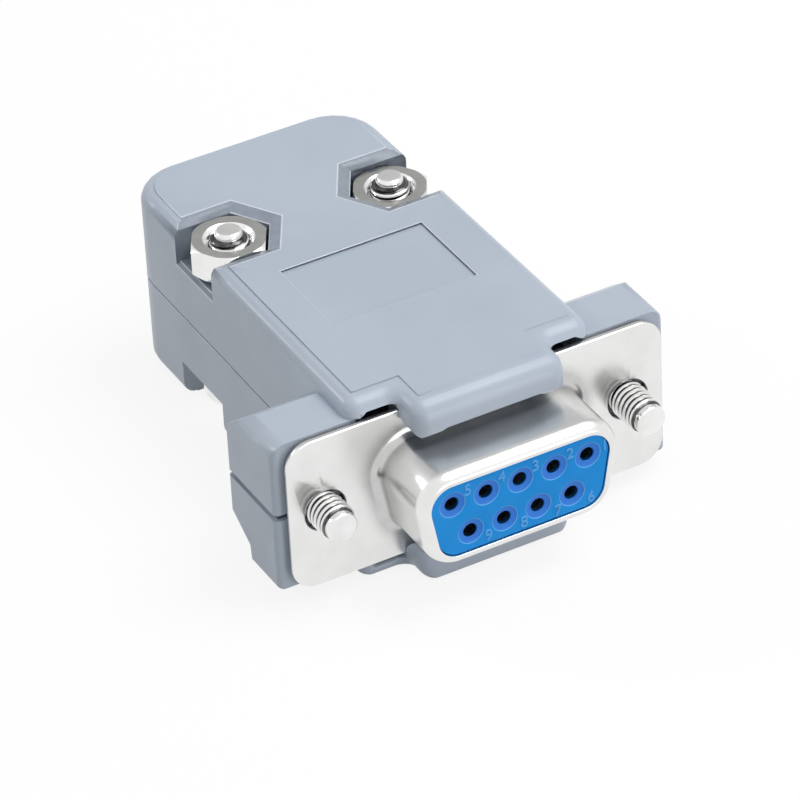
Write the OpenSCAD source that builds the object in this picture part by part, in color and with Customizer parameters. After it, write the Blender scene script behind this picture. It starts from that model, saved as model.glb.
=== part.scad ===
// Nine-way D-subminiature socket connector with solder cups, in a hood of two
// moulded halves. Sizes are in millimetres. +Z is up, the mating face looks
// towards -Y, and +X is on the right of someone who looks at the mating face.
// The origin is the connector's axis on the front face of its flange, and the
// two halves of the hood meet at z = 0.

/* [Flange and shell] */
// Height of the flange
flange_h = 12.55; // [12.2:0.01:12.9]
// Radius of the flange's corners
flange_r = 2; // [1:0.1:3]
// Distance between the two jackscrews
jack_pitch = 24.99; // [24.6:0.01:25.4]
// Distance from a jackscrew's axis to its end of the flange
flange_end = 2.91; // [2.7:0.01:3.1]
// Outside width of the D-shaped shell
shell_w = 16.33; // [16:0.01:16.7]
// Outside height of the D-shaped shell
shell_h = 7.9; // [7.6:0.01:8.2]
// Radius of the shell's corners
shell_r = 2.6; // [2:0.1:3.2]
// Lean of the D's two sides in degrees
side_lean = 10; // [6:0.5:14]
// Reach of the shell in front of the flange
shell_reach = 6.15; // [5.4:0.05:7]
// Thickness of the drawn sheet
sheet_t = 0.4; // [0.3:0.05:0.5]
// Radius where the drawn sheet leaves the flange
root_r = 0.7; // [0.4:0.05:1]
// Radius of the two holes in each flange
flange_hole_r = 1.65; // [1.55:0.01:1.8]
// Outside width of the box on the rear shell
box_w = 19.28; // [18.9:0.01:19.5]
// Outside height of the box on the rear shell
box_h = 10.72; // [10.4:0.01:10.9]
// Radius of the box's corners
box_r = 3.2; // [2.6:0.1:3.6]
// Distance from the flange's front to the back of the box
box_reach = 4; // [3.6:0.1:4.4]
// Radius rolled over the back edge of the box
roll_r = 1.2; // [0.8:0.1:1.4]
// Width of the rim that the box turns in round its opening
turn_in = 1.8; // [1.4:0.1:2.2]

/* [Contacts] */
// Distance between contacts in a row
contact_pitch = 2.77; // [2.7:0.01:2.84]
// Distance between the two rows
row_gap = 2.84; // [2.74:0.01:2.94]
// Radius of a contact's bore for its pin
pin_bore_r = 0.53; // [0.51:0.01:0.56]
// Depth of a contact's bore
pin_bore_depth = 5.2; // [4:0.1:5.6]
// Outside radius of a contact's barrel
barrel_r = 0.82; // [0.75:0.01:0.9]
// Radius of the collar that holds a contact between the insulators
collar_r = 1.08; // [1:0.02:1.15]
// Thickness of the front insulator's foot in front of the collars
foot_t = 0.8; // [0.6:0.05:1]
// Length of the collars
collar_l = 0.7; // [0.5:0.05:0.9]
// Distance from the flange's front to the back of the rear insulator
insulator_back = 4.7; // [4.4:0.1:5.2]
// Length of a solder cup behind the rear insulator
cup_len = 6.1; // [4.5:0.1:6.6]
// Widest radius of a solder cup
cup_r = 1; // [0.9:0.02:1.1]
// Thickness of the strip that a solder cup is formed from
cup_t = 0.18; // [0.14:0.01:0.22]

/* [Hood] */
// Width of the hood's body at the front
hood_w = 20; // [19.6:0.1:20.8]
// Width of the hood's body at the rear
hood_rear_w = 19.7; // [18.8:0.1:20.2]
// Height of the closed hood
hood_h = 15.4; // [15:0.1:16]
// Distance from the flange's front to the hood's rear end
hood_len = 36; // [35.6:0.1:39]
// Thickness of the hood's walls
wall_t = 1.5; // [1.2:0.05:1.7]
// Radius along the hood's long edges
edge_r = 1.07; // [0.6:0.01:1.4]
// Radius of the hood's rear corners seen from above
rear_corner_r = 3.9; // [3:0.1:4.6]
// Radius of the hood's upright edges at the front
front_corner_r = 1.2; // [0.8:0.1:1.6]
// Radius over the front edge of the upper half's shoulders and lip
shoulder_r = 1.65; // [1.2:0.05:1.9]
// Radius along the front edge of the lower half's shoulders and lip
under_r = 0.4; // [0.3:0.05:0.8]
// Rise of the flat panel above the rounded edge
panel_step = 0.12; // [0.05:0.01:0.2]
// Overhang of the shoulders over the flange
shoulder_over = 0.45; // [0.1:0.05:0.6]
// Width of the lip that holds the flange from the front
lip_w = 12.4; // [11:0.1:13]
// Reach of the lip in front of the flange
lip_reach = 2.55; // [2.2:0.05:3]
// Height of the flange's edge that the lip covers
lip_cover = 1.25; // [1.1:0.05:1.5]
// Radius of the lip's upright corners in front and at its roots
lip_corner_r = 1.2; // [1.1:0.05:1.3]
lip_root_r = 0.8; // [0.5:0.05:1]
// Depth of the hollow along the middle of the lip's lower edge
lip_hollow = 0.35; // [0.2:0.05:0.5]
// Overhang of each ear beyond the end of the flange
ear_over = 0.7; // [0.6:0.05:1]
// Distance from the flange's front to the back of the ears
ear_back = 8; // [7.8:0.1:8.6]
// Drop from the flange's edge to the top of an ear
ear_drop = 0.03; // [0.01:0.01:0.2]
// Radius over the outer edge of an ear
ear_r = 1.2; // [0.8:0.1:1.5]
// Height of the slope at the back of an ear
ear_slope_h = 2.15; // [1.6:0.05:2.4]
// Length of the slope at the back of an ear
ear_slope_l = 2.95; // [2.4:0.05:3]
// Height of the step in the underside of an ear, in front of its slope
ear_step_h = 1.35; // [0.8:0.05:1.5]
// Width of the label recess
label_w = 11.8; // [9:0.1:13]
// Length of the label recess
label_l = 8.2; // [5:0.1:9]
// Distance from the flange's front to the label recess
label_y = 10; // [8:0.1:11]
// Depth of the label recess
label_depth = 0.2; // [0.1:0.05:0.3]
// Width of the seam between the halves on the body
seam_t = 0.16; // [0.1:0.02:0.3]
// Width of the seam between the halves on the ears
ear_seam_t = 0.5; // [0.3:0.05:0.7]

/* [Screws and nuts] */
// Distance of each hood screw from the middle plane
hood_screw_x = 6.8; // [6.6:0.01:7]
// Distance of the hood screws from the flange's front
hood_screw_y = 24.6; // [24:0.01:25.2]
// Radius of a hood screw's thread
hood_screw_r = 1.5; // [1.4:0.01:1.55]
// Radius of a hood screw's head
screw_head_r = 2.75; // [2.6:0.05:2.9]
// Height of a hood screw's head
screw_head_h = 2; // [1.6:0.1:2.2]
// Stand of a hood screw's end above its nut
screw_stand = 1.1; // [0.6:0.1:1.4]
// Width of a hood nut across its flats
nut_flats = 5.5; // [5.3:0.05:5.6]
// Height of a hood nut
nut_h = 2.4; // [2:0.1:2.6]
// Depth of the pockets in the hood
pocket_depth = 3.1; // [2.9:0.05:3.3]
// Width across flats of the wide rim of a nut pocket
pocket_rim_flats = 7.8; // [7.2:0.1:8]
// Depth of that rim
pocket_rim_depth = 0.4; // [0.3:0.05:0.6]
// Radius of a jackscrew's thread
jack_r = 1.42; // [1.38:0.01:1.45]
// Radius of a jackscrew's neck, between its thread and its head
jack_neck_r = 1.2; // [1.1:0.01:1.25]
// Stand of a jackscrew in front of the flange
jack_stand = 2.75; // [2.3:0.05:3.2]
// Radius of a jackscrew's head
jack_head_r = 2.1; // [1.9:0.05:2.2]
// Length of a jackscrew's head
jack_head_l = 2.4; // [2:0.1:2.6]
// Distance that a jackscrew's head has in front of it
jack_float = 1.2; // [0.8:0.1:1.5]

/* [Cable clamp] */
// Diameter of the cable that the clamp grips
cable_d = 6; // [5:0.1:6.2]
// Thickness of a clamp half
clamp_t = 0.9; // [0.7:0.05:1]
// Width of a clamp half along the cable
clamp_w = 3; // [2.6:0.1:3.2]
// Width of a clamp half across the cable
clamp_span = 14.4; // [14:0.1:14.6]
// Distance from each clamp screw to its end of the clamp
clamp_end = 1.8; // [1.7:0.05:1.9]
// Radius of a clamp screw's thread
clamp_screw_r = 1; // [0.9:0.05:1.05]
// Length of a clamp screw under its head
clamp_screw_l = 5; // [4:0.1:5.4]

/* [Hidden] */
// Number of contacts in the wide row and in both rows
wide_ways = 5;
ways = 9;
// Gap between pieces that seat on or in each other
seat = 0.05;
// Gap round a shaft that turns
turn_gap = 0.08;
// Gap round a screw that passes a clearance hole
pass_gap = 0.15;
// Segments in a rounded corner, in a fillet and in a turned piece
corner_n = 6;
fillet_n = 5;
$fn = 48;
// A little more than nothing, for cuts that pass a face
past = 0.5;
// Radius of a contact's shank in the rear insulator
shank_r = barrel_r - 0.1;
// Radius where the box leaves its flange, and the overlap of a drawn root
// with the flat of its flange
box_root_r = 0.35;
join = 0.15;

// Planes along Y, from the mating face to the rear
hood_front = 2 * sheet_t + seat;
shoulder_front = hood_front - seat - shoulder_over;
collar_y = sheet_t + seat + foot_t;
split_y = collar_y + collar_l;
box_straight = box_reach - roll_r;
barrel_y = 0.7 - shell_reach;
cup_end = insulator_back + cup_len;

// Planes along Z
top_z = hood_h / 2;
ceiling_z = top_z - wall_t;
floor_z = top_z - pocket_depth;
flange_z = flange_h / 2;
ear_z = flange_z - ear_drop;
lip_z = flange_z - lip_cover;

// Pockets, bosses and the ears' chambers
nut_pocket_flats = nut_flats + 8 * seat;
head_pocket_r = screw_head_r + 0.5;
boss_r = hood_screw_r + 1.15;
pocket_wall = 1.25;
pocket_near = hood_screw_y - pocket_rim_flats / 2;
pocket_far = hood_screw_y + pocket_rim_flats / 2;
jack_x = jack_pitch / 2;
flange_x = jack_x + flange_end;
ear_x = flange_x + ear_over;
ear_web = 1;
chamber_near = hood_front + ear_web;
chamber_far = ear_back - ear_web - 0.2;
chamber_r = jack_head_r + 0.15;
jack_head_y = chamber_near + jack_float;
driver_r = jack_head_r - 0.4;

// Cable clamp
clamp_screw_x = clamp_span / 2 - clamp_end;
clamp_y = (pocket_far + pocket_wall + hood_len - wall_t) / 2;
cable_r = cable_d / 2;
outlet_r = cable_r + 0.25;
clamp_gap = 0.3;
clamp_top = clamp_gap / 2 + clamp_t;
clamp_head_r = clamp_screw_r + 0.5;
clamp_head_h = 1.2;

hood_grey = [0.70, 0.745, 0.80];
nickel = [0.83, 0.82, 0.80];
tin = [0.70, 0.70, 0.70];
blue = [0.16, 0.54, 0.85];

// Corner radius of a hexagon from its width across flats
function hex_r(flats) = flats / 2 / cos(30);

// Points of an arc in n steps, from angle a0 to angle a1
function arc(centre, r, a0, a1, n) =
    [for (i = [0:n]) centre + r * [cos(a0 + (a1 - a0) * i / n), sin(a0 + (a1 - a0) * i / n)]];

// How far a rounded edge of radius r has drawn in at the height z under top
function draw_in(z, top, r) = z > top - r ? r - sqrt(max(0, r * r - pow(z - top + r, 2))) : 0;

// Heights that follow the rounded edges of both radii up to top
function edge_heights(top, r1, r2) =
    let (hi = max(r1, r2), lo = min(r1, r2))
    [for (i = [0:fillet_n]) top - hi + hi * sin(90 * i / fillet_n),
     for (i = [1:fillet_n - 1]) top - lo + lo * sin(90 * i / fillet_n)];

function sorted(v) =
    len(v) < 2 ? v :
    let (pivot = v[0],
         less = [for (x = v) if (x < pivot - 0.01) x],
         more = [for (x = v) if (x > pivot + 0.01) x])
    concat(sorted(less), [pivot], sorted(more));

// A D with leaning sides, wide side up, grown all round
function d_outline(w, h, r, grow = 0) =
    let (top = [w / 2 - r, h / 2 - r],
         low = [top.x - (h - 2 * r) * tan(side_lean), r - h / 2],
         g = max(r + grow, 0.05))
    concat(arc(top, g, -side_lean, 90, corner_n),
           arc([-top.x, top.y], g, 90, 180 + side_lean, corner_n),
           arc([-low.x, low.y], g, 180 + side_lean, 270, corner_n),
           arc(low, g, 270, 360 - side_lean, corner_n));

// A box seen from above, with a radius for its front and its back corners
function plan_box(x0, x1, y0, y1, r_front, r_back) =
    concat(arc([x1 - r_front, y0 + r_front], r_front, -90, 0, corner_n),
           arc([x1 - r_back, y1 - r_back], r_back, 0, 90, corner_n),
           arc([x0 + r_back, y1 - r_back], r_back, 90, 180, corner_n),
           arc([x0 + r_front, y0 + r_front], r_front, 180, 270, corner_n));

// The hood's body seen from above: it narrows a little to its round rear
// corners. in draws the sides and the rear in, and in_front the front.
function body_outline(in, in_front) =
    let (rf = front_corner_r, rb = rear_corner_r,
         a = [hood_w / 2 - rf, shoulder_front + rf + in_front - in],
         b = [hood_rear_w / 2 - rb, hood_len - rb],
         lean = atan2(b.y - a.y, b.x - a.x) - acos((rf - rb) / norm(b - a)),
         f = max(rf - in, 0.05), g = max(rb - in, 0.05))
    concat(arc(a, f, -90, lean, corner_n), arc(b, g, lean, 90, corner_n),
           arc([-b.x, b.y], g, 90, 180 - lean, corner_n),
           arc([-a.x, a.y], f, 180 - lean, 270, corner_n));

// The body with its lip, which runs into the shoulders in round roots. The
// shoulders lean back by a hair, so that no four points lie on one line.
function lipped_outline(in, in_front) =
    let (x = lip_w / 2, shift = in_front - in, hair = 0.003,
         root = [x + lip_root_r, shoulder_front - lip_root_r + shift - hair],
         tip = [x - lip_corner_r, lip_corner_r - lip_reach + shift])
    concat(body_outline(in, in_front),
           arc([-root.x, root.y], lip_root_r + in, 90, 0, corner_n),
           arc([-tip.x, tip.y], lip_corner_r - in, 180, 270, corner_n),
           arc(tip, lip_corner_r - in, 270, 360, corner_n),
           arc(root, lip_root_r + in, 180, 90, corner_n));

function contact_x(n) =
    n <= wide_ways ? ((wide_ways + 1) / 2 - n) * contact_pitch
                   : ((wide_ways + ways + 1) / 2 - n) * contact_pitch;
function contact_z(n) = (n <= wide_ways ? 1 : -1) * row_gap / 2;

// A closed skin over rings of points, with as many points in each ring
module loft(rings) {
    n = len(rings[0]);
    last = len(rings) - 1;
    polyhedron(
        points = [for (ring = rings) each ring],
        faces = concat(
            [[for (i = [0:n - 1]) i]],
            [for (j = [0:last - 1], i = [0:n - 1])
                [j * n + i, (j + 1) * n + i, (j + 1) * n + (i + 1) % n, j * n + (i + 1) % n]],
            [[for (i = [n - 1:-1:0]) last * n + i]]));
}

// A section of [growth, y] points carried round a D
module d_sweep(w, h, r, section) {
    rings = [for (p = section) [for (q = d_outline(w, h, r, p.x)) [q.x, p.y, q.y]]];
    n = len(rings[0]);
    m = len(rings);
    polyhedron(
        points = [for (ring = rings) each ring],
        faces = [for (j = [0:m - 1], i = [0:n - 1])
            let (k = (j + 1) % m, i2 = (i + 1) % n)
            [j * n + i, k * n + i, k * n + i2, j * n + i2]]);
}

// A D-shaped slab from y0 to y1
module d_slab(w, h, r, grow, y0, y1) {
    translate([0, y1, 0])
        rotate([90, 0, 0])
            linear_extrude(y1 - y0)
                polygon(d_outline(w, h, r, grow));
}

// A rod along Y from y0 to y1
module rod_y(x, z, r, y0, y1) {
    translate([x, y0, z])
        rotate([-90, 0, 0])
            cylinder(r = r, h = y1 - y0);
}

// A turned piece along Y from its [radius, y] half section
module turned_y(section) {
    rotate([-90, 0, 0])
        rotate_extrude()
            polygon(section);
}

module block(x0, x1, y0, y1, z0, z1) {
    translate([x0, y0, z0])
        cube([x1 - x0, y1 - y0, z1 - z0]);
}

module both_sides() {
    for (side = [0, 1])
        mirror([side, 0, 0])
            children();
}

// Flange plate with two screw holes, from y0 to y1
module flange_plate(y0, y1, trim) {
    w = flange_x - trim;
    h = flange_z - trim;
    r = flange_r - trim;
    translate([0, y1, 0])
        rotate([90, 0, 0])
            linear_extrude(y1 - y0)
                polygon(concat(arc([w - r, h - r], r, 0, 90, corner_n),
                    arc([r - w, h - r], r, 90, 180, corner_n),
                    arc([r - w, r - h], r, 180, 270, corner_n),
                    arc([w - r, r - h], r, 270, 360, corner_n)));
}

module flange_cuts(w, h, r, root, y0, y1) {
    d_slab(w, h, r, root + join / 2, y0 - past, y1 + past);
    both_sides()
        rod_y(jack_x, 0, flange_hole_r, y0 - past, y1 + past);
}

// Front shell: flange and drawn D in one sheet of even thickness
module front_shell() {
    bend = [root_r, -root_r];
    rim = [-sheet_t / 2, sheet_t / 2 - shell_reach];
    color(nickel)
        union() {
            difference() {
                flange_plate(0, sheet_t, 0);
                flange_cuts(shell_w, shell_h, shell_r, root_r, 0, sheet_t);
            }
            d_sweep(shell_w, shell_h, shell_r, concat(
                [[root_r + join, 0]],
                arc(bend, root_r, 90, 180, fillet_n),
                arc(rim, sheet_t / 2, 0, -180, fillet_n),
                arc(bend, root_r + sheet_t, 180, 90, fillet_n),
                [[root_r + join, sheet_t]]));
        }
}

// Rear shell: flange and a deeper box whose back edge rolls in
module rear_shell() {
    bend = [box_root_r, 2 * sheet_t + box_root_r];
    roll = [-roll_r, box_straight];
    color(tin)
        union() {
            difference() {
                flange_plate(sheet_t, 2 * sheet_t, sheet_t / 2);
                flange_cuts(box_w, box_h, box_r, box_root_r, sheet_t, 2 * sheet_t);
            }
            d_sweep(box_w, box_h, box_r, concat(
                [[box_root_r + join, sheet_t]],
                arc(bend, box_root_r + sheet_t, 270, 180, fillet_n),
                arc(roll, roll_r - sheet_t, 0, 90, fillet_n),
                [[-turn_in, box_reach - sheet_t], [-turn_in, box_reach]],
                arc(roll, roll_r, 90, 0, fillet_n),
                arc(bend, box_root_r, 180, 270, fillet_n),
                [[box_root_r + join, 2 * sheet_t]]));
        }
}

// Front insulator: a plug that fills the D, with a foot inside the box
module front_insulator() {
    lead_r = barrel_r + 0.12;
    face_y = seat - shell_reach;
    color(blue)
        difference() {
            union() {
                d_slab(shell_w, shell_h, shell_r, -sheet_t - seat, face_y, split_y);
                d_slab(box_w, box_h, box_r, -sheet_t - seat, sheet_t + seat, split_y);
            }
            for (n = [1:ways])
                translate([contact_x(n), 0, contact_z(n)])
                    turned_y([[0, face_y - past], [lead_r, face_y - past], [lead_r, face_y],
                        [pin_bore_r + seat, face_y + 0.4], [pin_bore_r + seat, barrel_y - seat],
                        [barrel_r + seat, barrel_y - seat], [barrel_r + seat, collar_y - seat],
                        [collar_r + seat, collar_y - seat], [collar_r + seat, split_y + past],
                        [0, split_y + past]]);
        }
}

// Rear insulator: it closes the box and stands a little out of its opening
module rear_insulator() {
    section = concat(
        [[-sheet_t - seat, split_y + seat], [-sheet_t - seat, box_straight]],
        arc([-roll_r, box_straight], roll_r - sheet_t - seat, 0, 90, fillet_n));
    color(blue)
        difference() {
            union() {
                rotate([90, 0, 0])
                    loft([for (i = [len(section) - 1:-1:0])
                        [for (q = d_outline(box_w, box_h, box_r, section[i].x))
                            [q.x, q.y, -section[i].y]]]);
                d_slab(box_w, box_h, box_r, -turn_in - seat, split_y + seat, insulator_back);
            }
            for (n = [1:ways])
                rod_y(contact_x(n), contact_z(n), shank_r + seat, split_y - past,
                    insulator_back + past);
        }
}

// Contact: split barrel, collar, shank and an open solder cup that faces
// away from the other row
module contact(n) {
    floor_y = insulator_back + 1.2;
    waist_r = cup_r - 0.3;
    nose_r = cup_r - 0.22;
    slit = 0.2;
    color(tin)
        translate([contact_x(n), 0, contact_z(n)])
            rotate([0, n <= wide_ways ? 0 : 180, 0])
                difference() {
                    turned_y([[pin_bore_r, barrel_y], [barrel_r, barrel_y], [barrel_r, collar_y],
                        [collar_r, collar_y], [collar_r, split_y], [shank_r, split_y],
                        [shank_r, insulator_back], [waist_r, insulator_back + 0.3],
                        [cup_r, floor_y + 1], [cup_r, cup_end - 1.8], [nose_r, cup_end],
                        [nose_r - cup_t, cup_end], [cup_r - cup_t, cup_end - 1.8],
                        [cup_r - cup_t, floor_y + 1], [waist_r - cup_t, floor_y],
                        [0, floor_y], [0, barrel_y + pin_bore_depth],
                        [pin_bore_r, barrel_y + pin_bore_depth]]);
                    // The slit between the two springs of the barrel
                    block(-barrel_r - past, barrel_r + past, barrel_y - past, barrel_y + 3,
                        -slit / 2, slit / 2);
                    // The mouth of the cup, widest in the middle
                    rotate([90, 0, 90])
                        translate([0, 0, -2 * cup_r])
                            linear_extrude(4 * cup_r)
                                polygon([[floor_y - 0.6, 2 * cup_r], [floor_y - 0.6, cup_r / 2],
                                    [floor_y + 0.3, -cup_r / 5], [floor_y + 1.6, cup_r / 3],
                                    [cup_end - 2, cup_r / 3], [cup_end + past, -cup_r / 2],
                                    [cup_end + past, 2 * cup_r]]);
                    // The round hole in the cup's back
                    translate([0, floor_y + 0.7, -2 * cup_r])
                        cylinder(r = 0.32, h = 2 * cup_r);
                }
}

// Jackscrew: threaded end with a turned-down nose in front of the flange, a
// thinner neck, and a slotted head in the ear
module jackscrew(side) {
    nose_r = jack_r - 0.3;
    nose_l = 0.7;
    edge = 0.25;
    head_end = jack_head_y + jack_head_l;
    color(nickel)
        translate([side * jack_x, 0, 0])
            difference() {
                turned_y([[0, -jack_stand], [nose_r - edge, -jack_stand],
                    [nose_r, edge - jack_stand], [nose_r, nose_l - jack_stand],
                    [jack_r, nose_l + edge / 2 - jack_stand], [jack_r, 0],
                    [jack_neck_r, 0], [jack_neck_r, jack_head_y],
                    [jack_head_r, jack_head_y], [jack_head_r, head_end - edge],
                    [jack_head_r - edge, head_end], [0, head_end]]);
                block(-0.4, 0.4, head_end - 1, head_end + past, -jack_head_r - past,
                    jack_head_r + past);
            }
}

// Hood screw: round head with a cross recess below, end above the nut
module hood_screw(side) {
    nose_r = hood_screw_r - 0.35;
    tip = floor_z + nut_h + screw_stand;
    edge = 0.3;
    color(nickel)
        translate([side * hood_screw_x, hood_screw_y, 0])
            difference() {
                rotate_extrude()
                    polygon([[0, -floor_z - screw_head_h],
                        [screw_head_r - edge, -floor_z - screw_head_h],
                        [screw_head_r, -floor_z - screw_head_h + edge],
                        [screw_head_r, -floor_z], [hood_screw_r, -floor_z],
                        [hood_screw_r, tip - 0.6], [nose_r, tip - 0.45],
                        [nose_r, tip - edge / 2], [nose_r - edge / 2, tip], [0, tip]]);
                for (turn = [0, 90])
                    rotate([0, 0, turn])
                        block(-1.5, 1.5, -0.3, 0.3, -floor_z - screw_head_h - past,
                            -floor_z - screw_head_h + 1.1);
            }
}

// Hood nut: hexagon with its corners turned away above and below
module hood_nut(side) {
    corner_r = hex_r(nut_flats);
    turned = 0.35;
    color(nickel)
        translate([side * hood_screw_x, hood_screw_y, floor_z])
            difference() {
                intersection() {
                    cylinder(r = corner_r, h = nut_h, $fn = 6);
                    rotate_extrude()
                        polygon([[0, 0], [nut_flats / 2, 0], [corner_r + 0.05, turned],
                            [corner_r + 0.05, nut_h - turned], [nut_flats / 2, nut_h], [0, nut_h]]);
                }
                translate([0, 0, -past])
                    cylinder(r = hood_screw_r + seat / 2, h = nut_h + 2 * past);
                translate([0, 0, nut_h - 0.35])
                    cylinder(r1 = hood_screw_r + seat / 2, r2 = hood_screw_r + 0.5, h = 0.4);
            }
}

// Cable clamp half as it lies above the cable
module clamp_strap() {
    inner = cable_r;
    outer = inner + clamp_t;
    low = clamp_gap / 2;
    a_in = asin(low / inner);
    a_out = asin(clamp_top / outer);
    translate([0, clamp_y + clamp_w / 2, 0])
        rotate([90, 0, 0])
            linear_extrude(clamp_w)
                polygon(concat(
                    [[clamp_span / 2, low], [clamp_span / 2, clamp_top]],
                    arc([0, 0], outer, a_out, 180 - a_out, 2 * corner_n),
                    [[-clamp_span / 2, clamp_top], [-clamp_span / 2, low]],
                    arc([0, 0], inner, 180 - a_in, a_in, 2 * corner_n)));
}

module clamp_holes(r) {
    both_sides()
        translate([clamp_screw_x, clamp_y, -clamp_top - past])
            cylinder(r = r, h = 2 * clamp_top + 2 * past);
}

module clamp_upper() {
    color(tin)
        difference() {
            clamp_strap();
            clamp_holes(clamp_screw_r + pass_gap);
        }
}

module clamp_lower() {
    color(tin)
        difference() {
            mirror([0, 0, 1])
                clamp_strap();
            clamp_holes(clamp_screw_r + seat / 2);
        }
}

module clamp_screw(side) {
    edge = 0.2;
    top = clamp_top + clamp_head_h;
    color(nickel)
        translate([side * clamp_screw_x, clamp_y, 0])
            difference() {
                rotate_extrude()
                    polygon([[0, clamp_top - clamp_screw_l],
                        [clamp_screw_r - edge, clamp_top - clamp_screw_l],
                        [clamp_screw_r, clamp_top - clamp_screw_l + edge],
                        [clamp_screw_r, clamp_top], [clamp_head_r, clamp_top],
                        [clamp_head_r, top - edge], [clamp_head_r - edge, top], [0, top]]);
                block(-clamp_head_r - past, clamp_head_r + past, -0.25, 0.25, top - 0.6,
                    top + past);
            }
}

// Outside of one half of the hood, above the parting plane, with the radius
// front_r over its front edge
module hood_outside(front_r) {
    top = top_z - panel_step;
    heights = concat([0], sorted(edge_heights(top, edge_r, front_r)));
    union() {
        difference() {
            loft([for (z = heights)
                [for (q = lipped_outline(draw_in(z, top, edge_r), draw_in(z, top, front_r)))
                    [q.x, q.y, z]]]);
            under_lip();
        }
        flat_panel(top, front_r);
    }
}

// Room in front of the flange below the lip. Seen from the side the lip's
// lower edge is round behind; seen from the front it is hollow in the middle.
module under_lip() {
    x = lip_w / 2;
    back_r = flange_z - lip_z - 2 * seat;
    nose_r = 0.4;
    end_r = 0.6;
    slant = 0.7;
    translate([-x - past, 0, 0])
        rotate([90, 0, 90])
            linear_extrude(2 * x + 2 * past)
                polygon(concat([[-seat, -past], [-lip_reach - past, -past],
                    [-lip_reach - past, lip_z + nose_r]],
                    arc([nose_r - lip_reach, lip_z + nose_r], nose_r, 180, 270, fillet_n),
                    arc([-seat - back_r, lip_z + back_r], back_r, 270, 360, fillet_n)));
    translate([0, -seat, 0])
        rotate([90, 0, 0])
            linear_extrude(lip_reach + past)
                polygon(concat([[-x - past, -past], [x + past, -past], [x + past, lip_z + end_r]],
                    arc([x - end_r, lip_z + end_r], end_r, 0, -90, fillet_n),
                    [[x / 2 + 2 * slant, lip_z], [x / 2 + slant, lip_z + lip_hollow],
                    [-x / 2 - slant, lip_z + lip_hollow], [-x / 2 - 2 * slant, lip_z]],
                    arc([end_r - x, lip_z + end_r], end_r, 270, 180, fillet_n),
                    [[-x - past, lip_z + end_r]]));
}

// One ear above the parting plane: its block, with the radius r over the
// outer edge, cut to the section that it has seen from the side
module hood_ear(r, section) {
    heights = concat([0], [for (i = [0:fillet_n]) ear_z - r + r * sin(90 * i / fillet_n)]);
    intersection() {
        loft([for (z = heights)
            let (in = draw_in(z, ear_z, r))
            [for (q = plan_box(hood_w / 2 - wall_t, ear_x - in, hood_front, ear_back,
                max(0.5 - in, 0.05), max(0.3 - in, 0.05))) [q.x, q.y, z]]]);
        rotate([90, 0, 90])
            linear_extrude(ear_x + past)
                polygon(concat([[ear_z, -past], [ear_back + past, -past]], section,
                    [[-past, ear_z + past], [-past, -past]]));
    }
}

// The upper ear ends in a slope
module upper_ear() {
    hood_ear(ear_r, [[ear_back + past, ear_z - ear_slope_h - past * ear_slope_h / ear_slope_l],
        [ear_back - ear_slope_l, ear_z], [ear_back - ear_slope_l, ear_z + past]]);
}

// The lower ear has a step in front of its slope, and no round edge
module lower_ear() {
    y = ear_back - ear_slope_l;
    mirror([0, 0, 1])
        hood_ear(4 * seat, [[ear_back + past, ear_z - ear_slope_h - ear_step_h + 0.4],
            [ear_back, ear_z - ear_slope_h - ear_step_h + 0.4],
            [y + 0.2, ear_z - ear_step_h], [y, ear_z + past]]);
}

// Flat panel that stands a step above the rounded edges, on body and lip,
// with a fine ledge between its own edge and theirs
module flat_panel(top, front_r) {
    ledge = 0.04;
    in = edge_r + ledge;
    in_front = front_r + ledge;
    x = hood_w / 2 - in;
    y = shoulder_front + in_front;
    lip_x = lip_w / 2 - in;
    lip_y = in_front - lip_reach;
    side = [for (q = body_outline(in, in_front)) if (q.y > y + front_corner_r) q];
    translate([0, 0, top - panel_step])
        linear_extrude(2 * panel_step)
            polygon(concat([[-x, y], [-lip_x, y], [-lip_x, lip_y], [lip_x, lip_y],
                [lip_x, y], [x, y]], side));
}

// Room inside one half, above the parting plane
module hood_inside() {
    rear_wall = hood_len - wall_t;
    difference() {
        linear_extrude(ceiling_z)
            polygon(body_outline(wall_t, wall_t));
        both_sides() {
            // The floor and walls of the pocket, and the boss under it
            block(hood_screw_x - hex_r(pocket_rim_flats) - pocket_wall, hood_w,
                pocket_near - pocket_wall, pocket_far + pocket_wall,
                floor_z - wall_t, top_z);
            translate([hood_screw_x, hood_screw_y, -past])
                cylinder(r = boss_r, h = floor_z);
        }
    }
    rod_y(0, 0, outlet_r, rear_wall - past, hood_len + past);
}

// Chamber of an ear for the jackscrew's head, and its two holes. It narrows
// to the rear below the ear's slope.
module ear_chamber() {
    wide = ear_z - wall_t;
    waist = (wide + chamber_r) / 2;
    y = ear_back - ear_slope_l;
    section = [[chamber_near, wide], [y - ear_web, wide], [y - ear_web / 2, waist],
        [chamber_far, chamber_r + 0.4]];
    translate([jack_x - chamber_r, 0, 0])
        rotate([90, 0, 90])
            linear_extrude(2 * chamber_r)
                polygon(concat(section,
                    [for (i = [len(section) - 1:-1:0]) [section[i].x, -section[i].y]]));
    rod_y(jack_x, 0, jack_neck_r + turn_gap, hood_front - past, chamber_near + past);
    rod_y(jack_x, 0, driver_r, chamber_far - past, ear_back + past);
}

// Slot for the flange, with the moulding windows beside the lips
module flange_room() {
    side = ear_x + past;
    high = flange_z + 2 * seat;
    near = lip_w / 2 + 0.1;
    far = hood_w / 2 - 0.7;
    top = flange_z + 0.42;
    block(-side, side, -seat, hood_front, -high, high);
    for (down = [0, 1])
        mirror([0, 0, down])
            both_sides()
                translate([0, hood_front + wall_t, 0])
                    rotate([90, 0, 0])
                        linear_extrude(hood_front + wall_t + past)
                            polygon([[near, 0], [far, 0], [far, flange_z], [far - 0.75, top],
                                [near, top]]);
}

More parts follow.
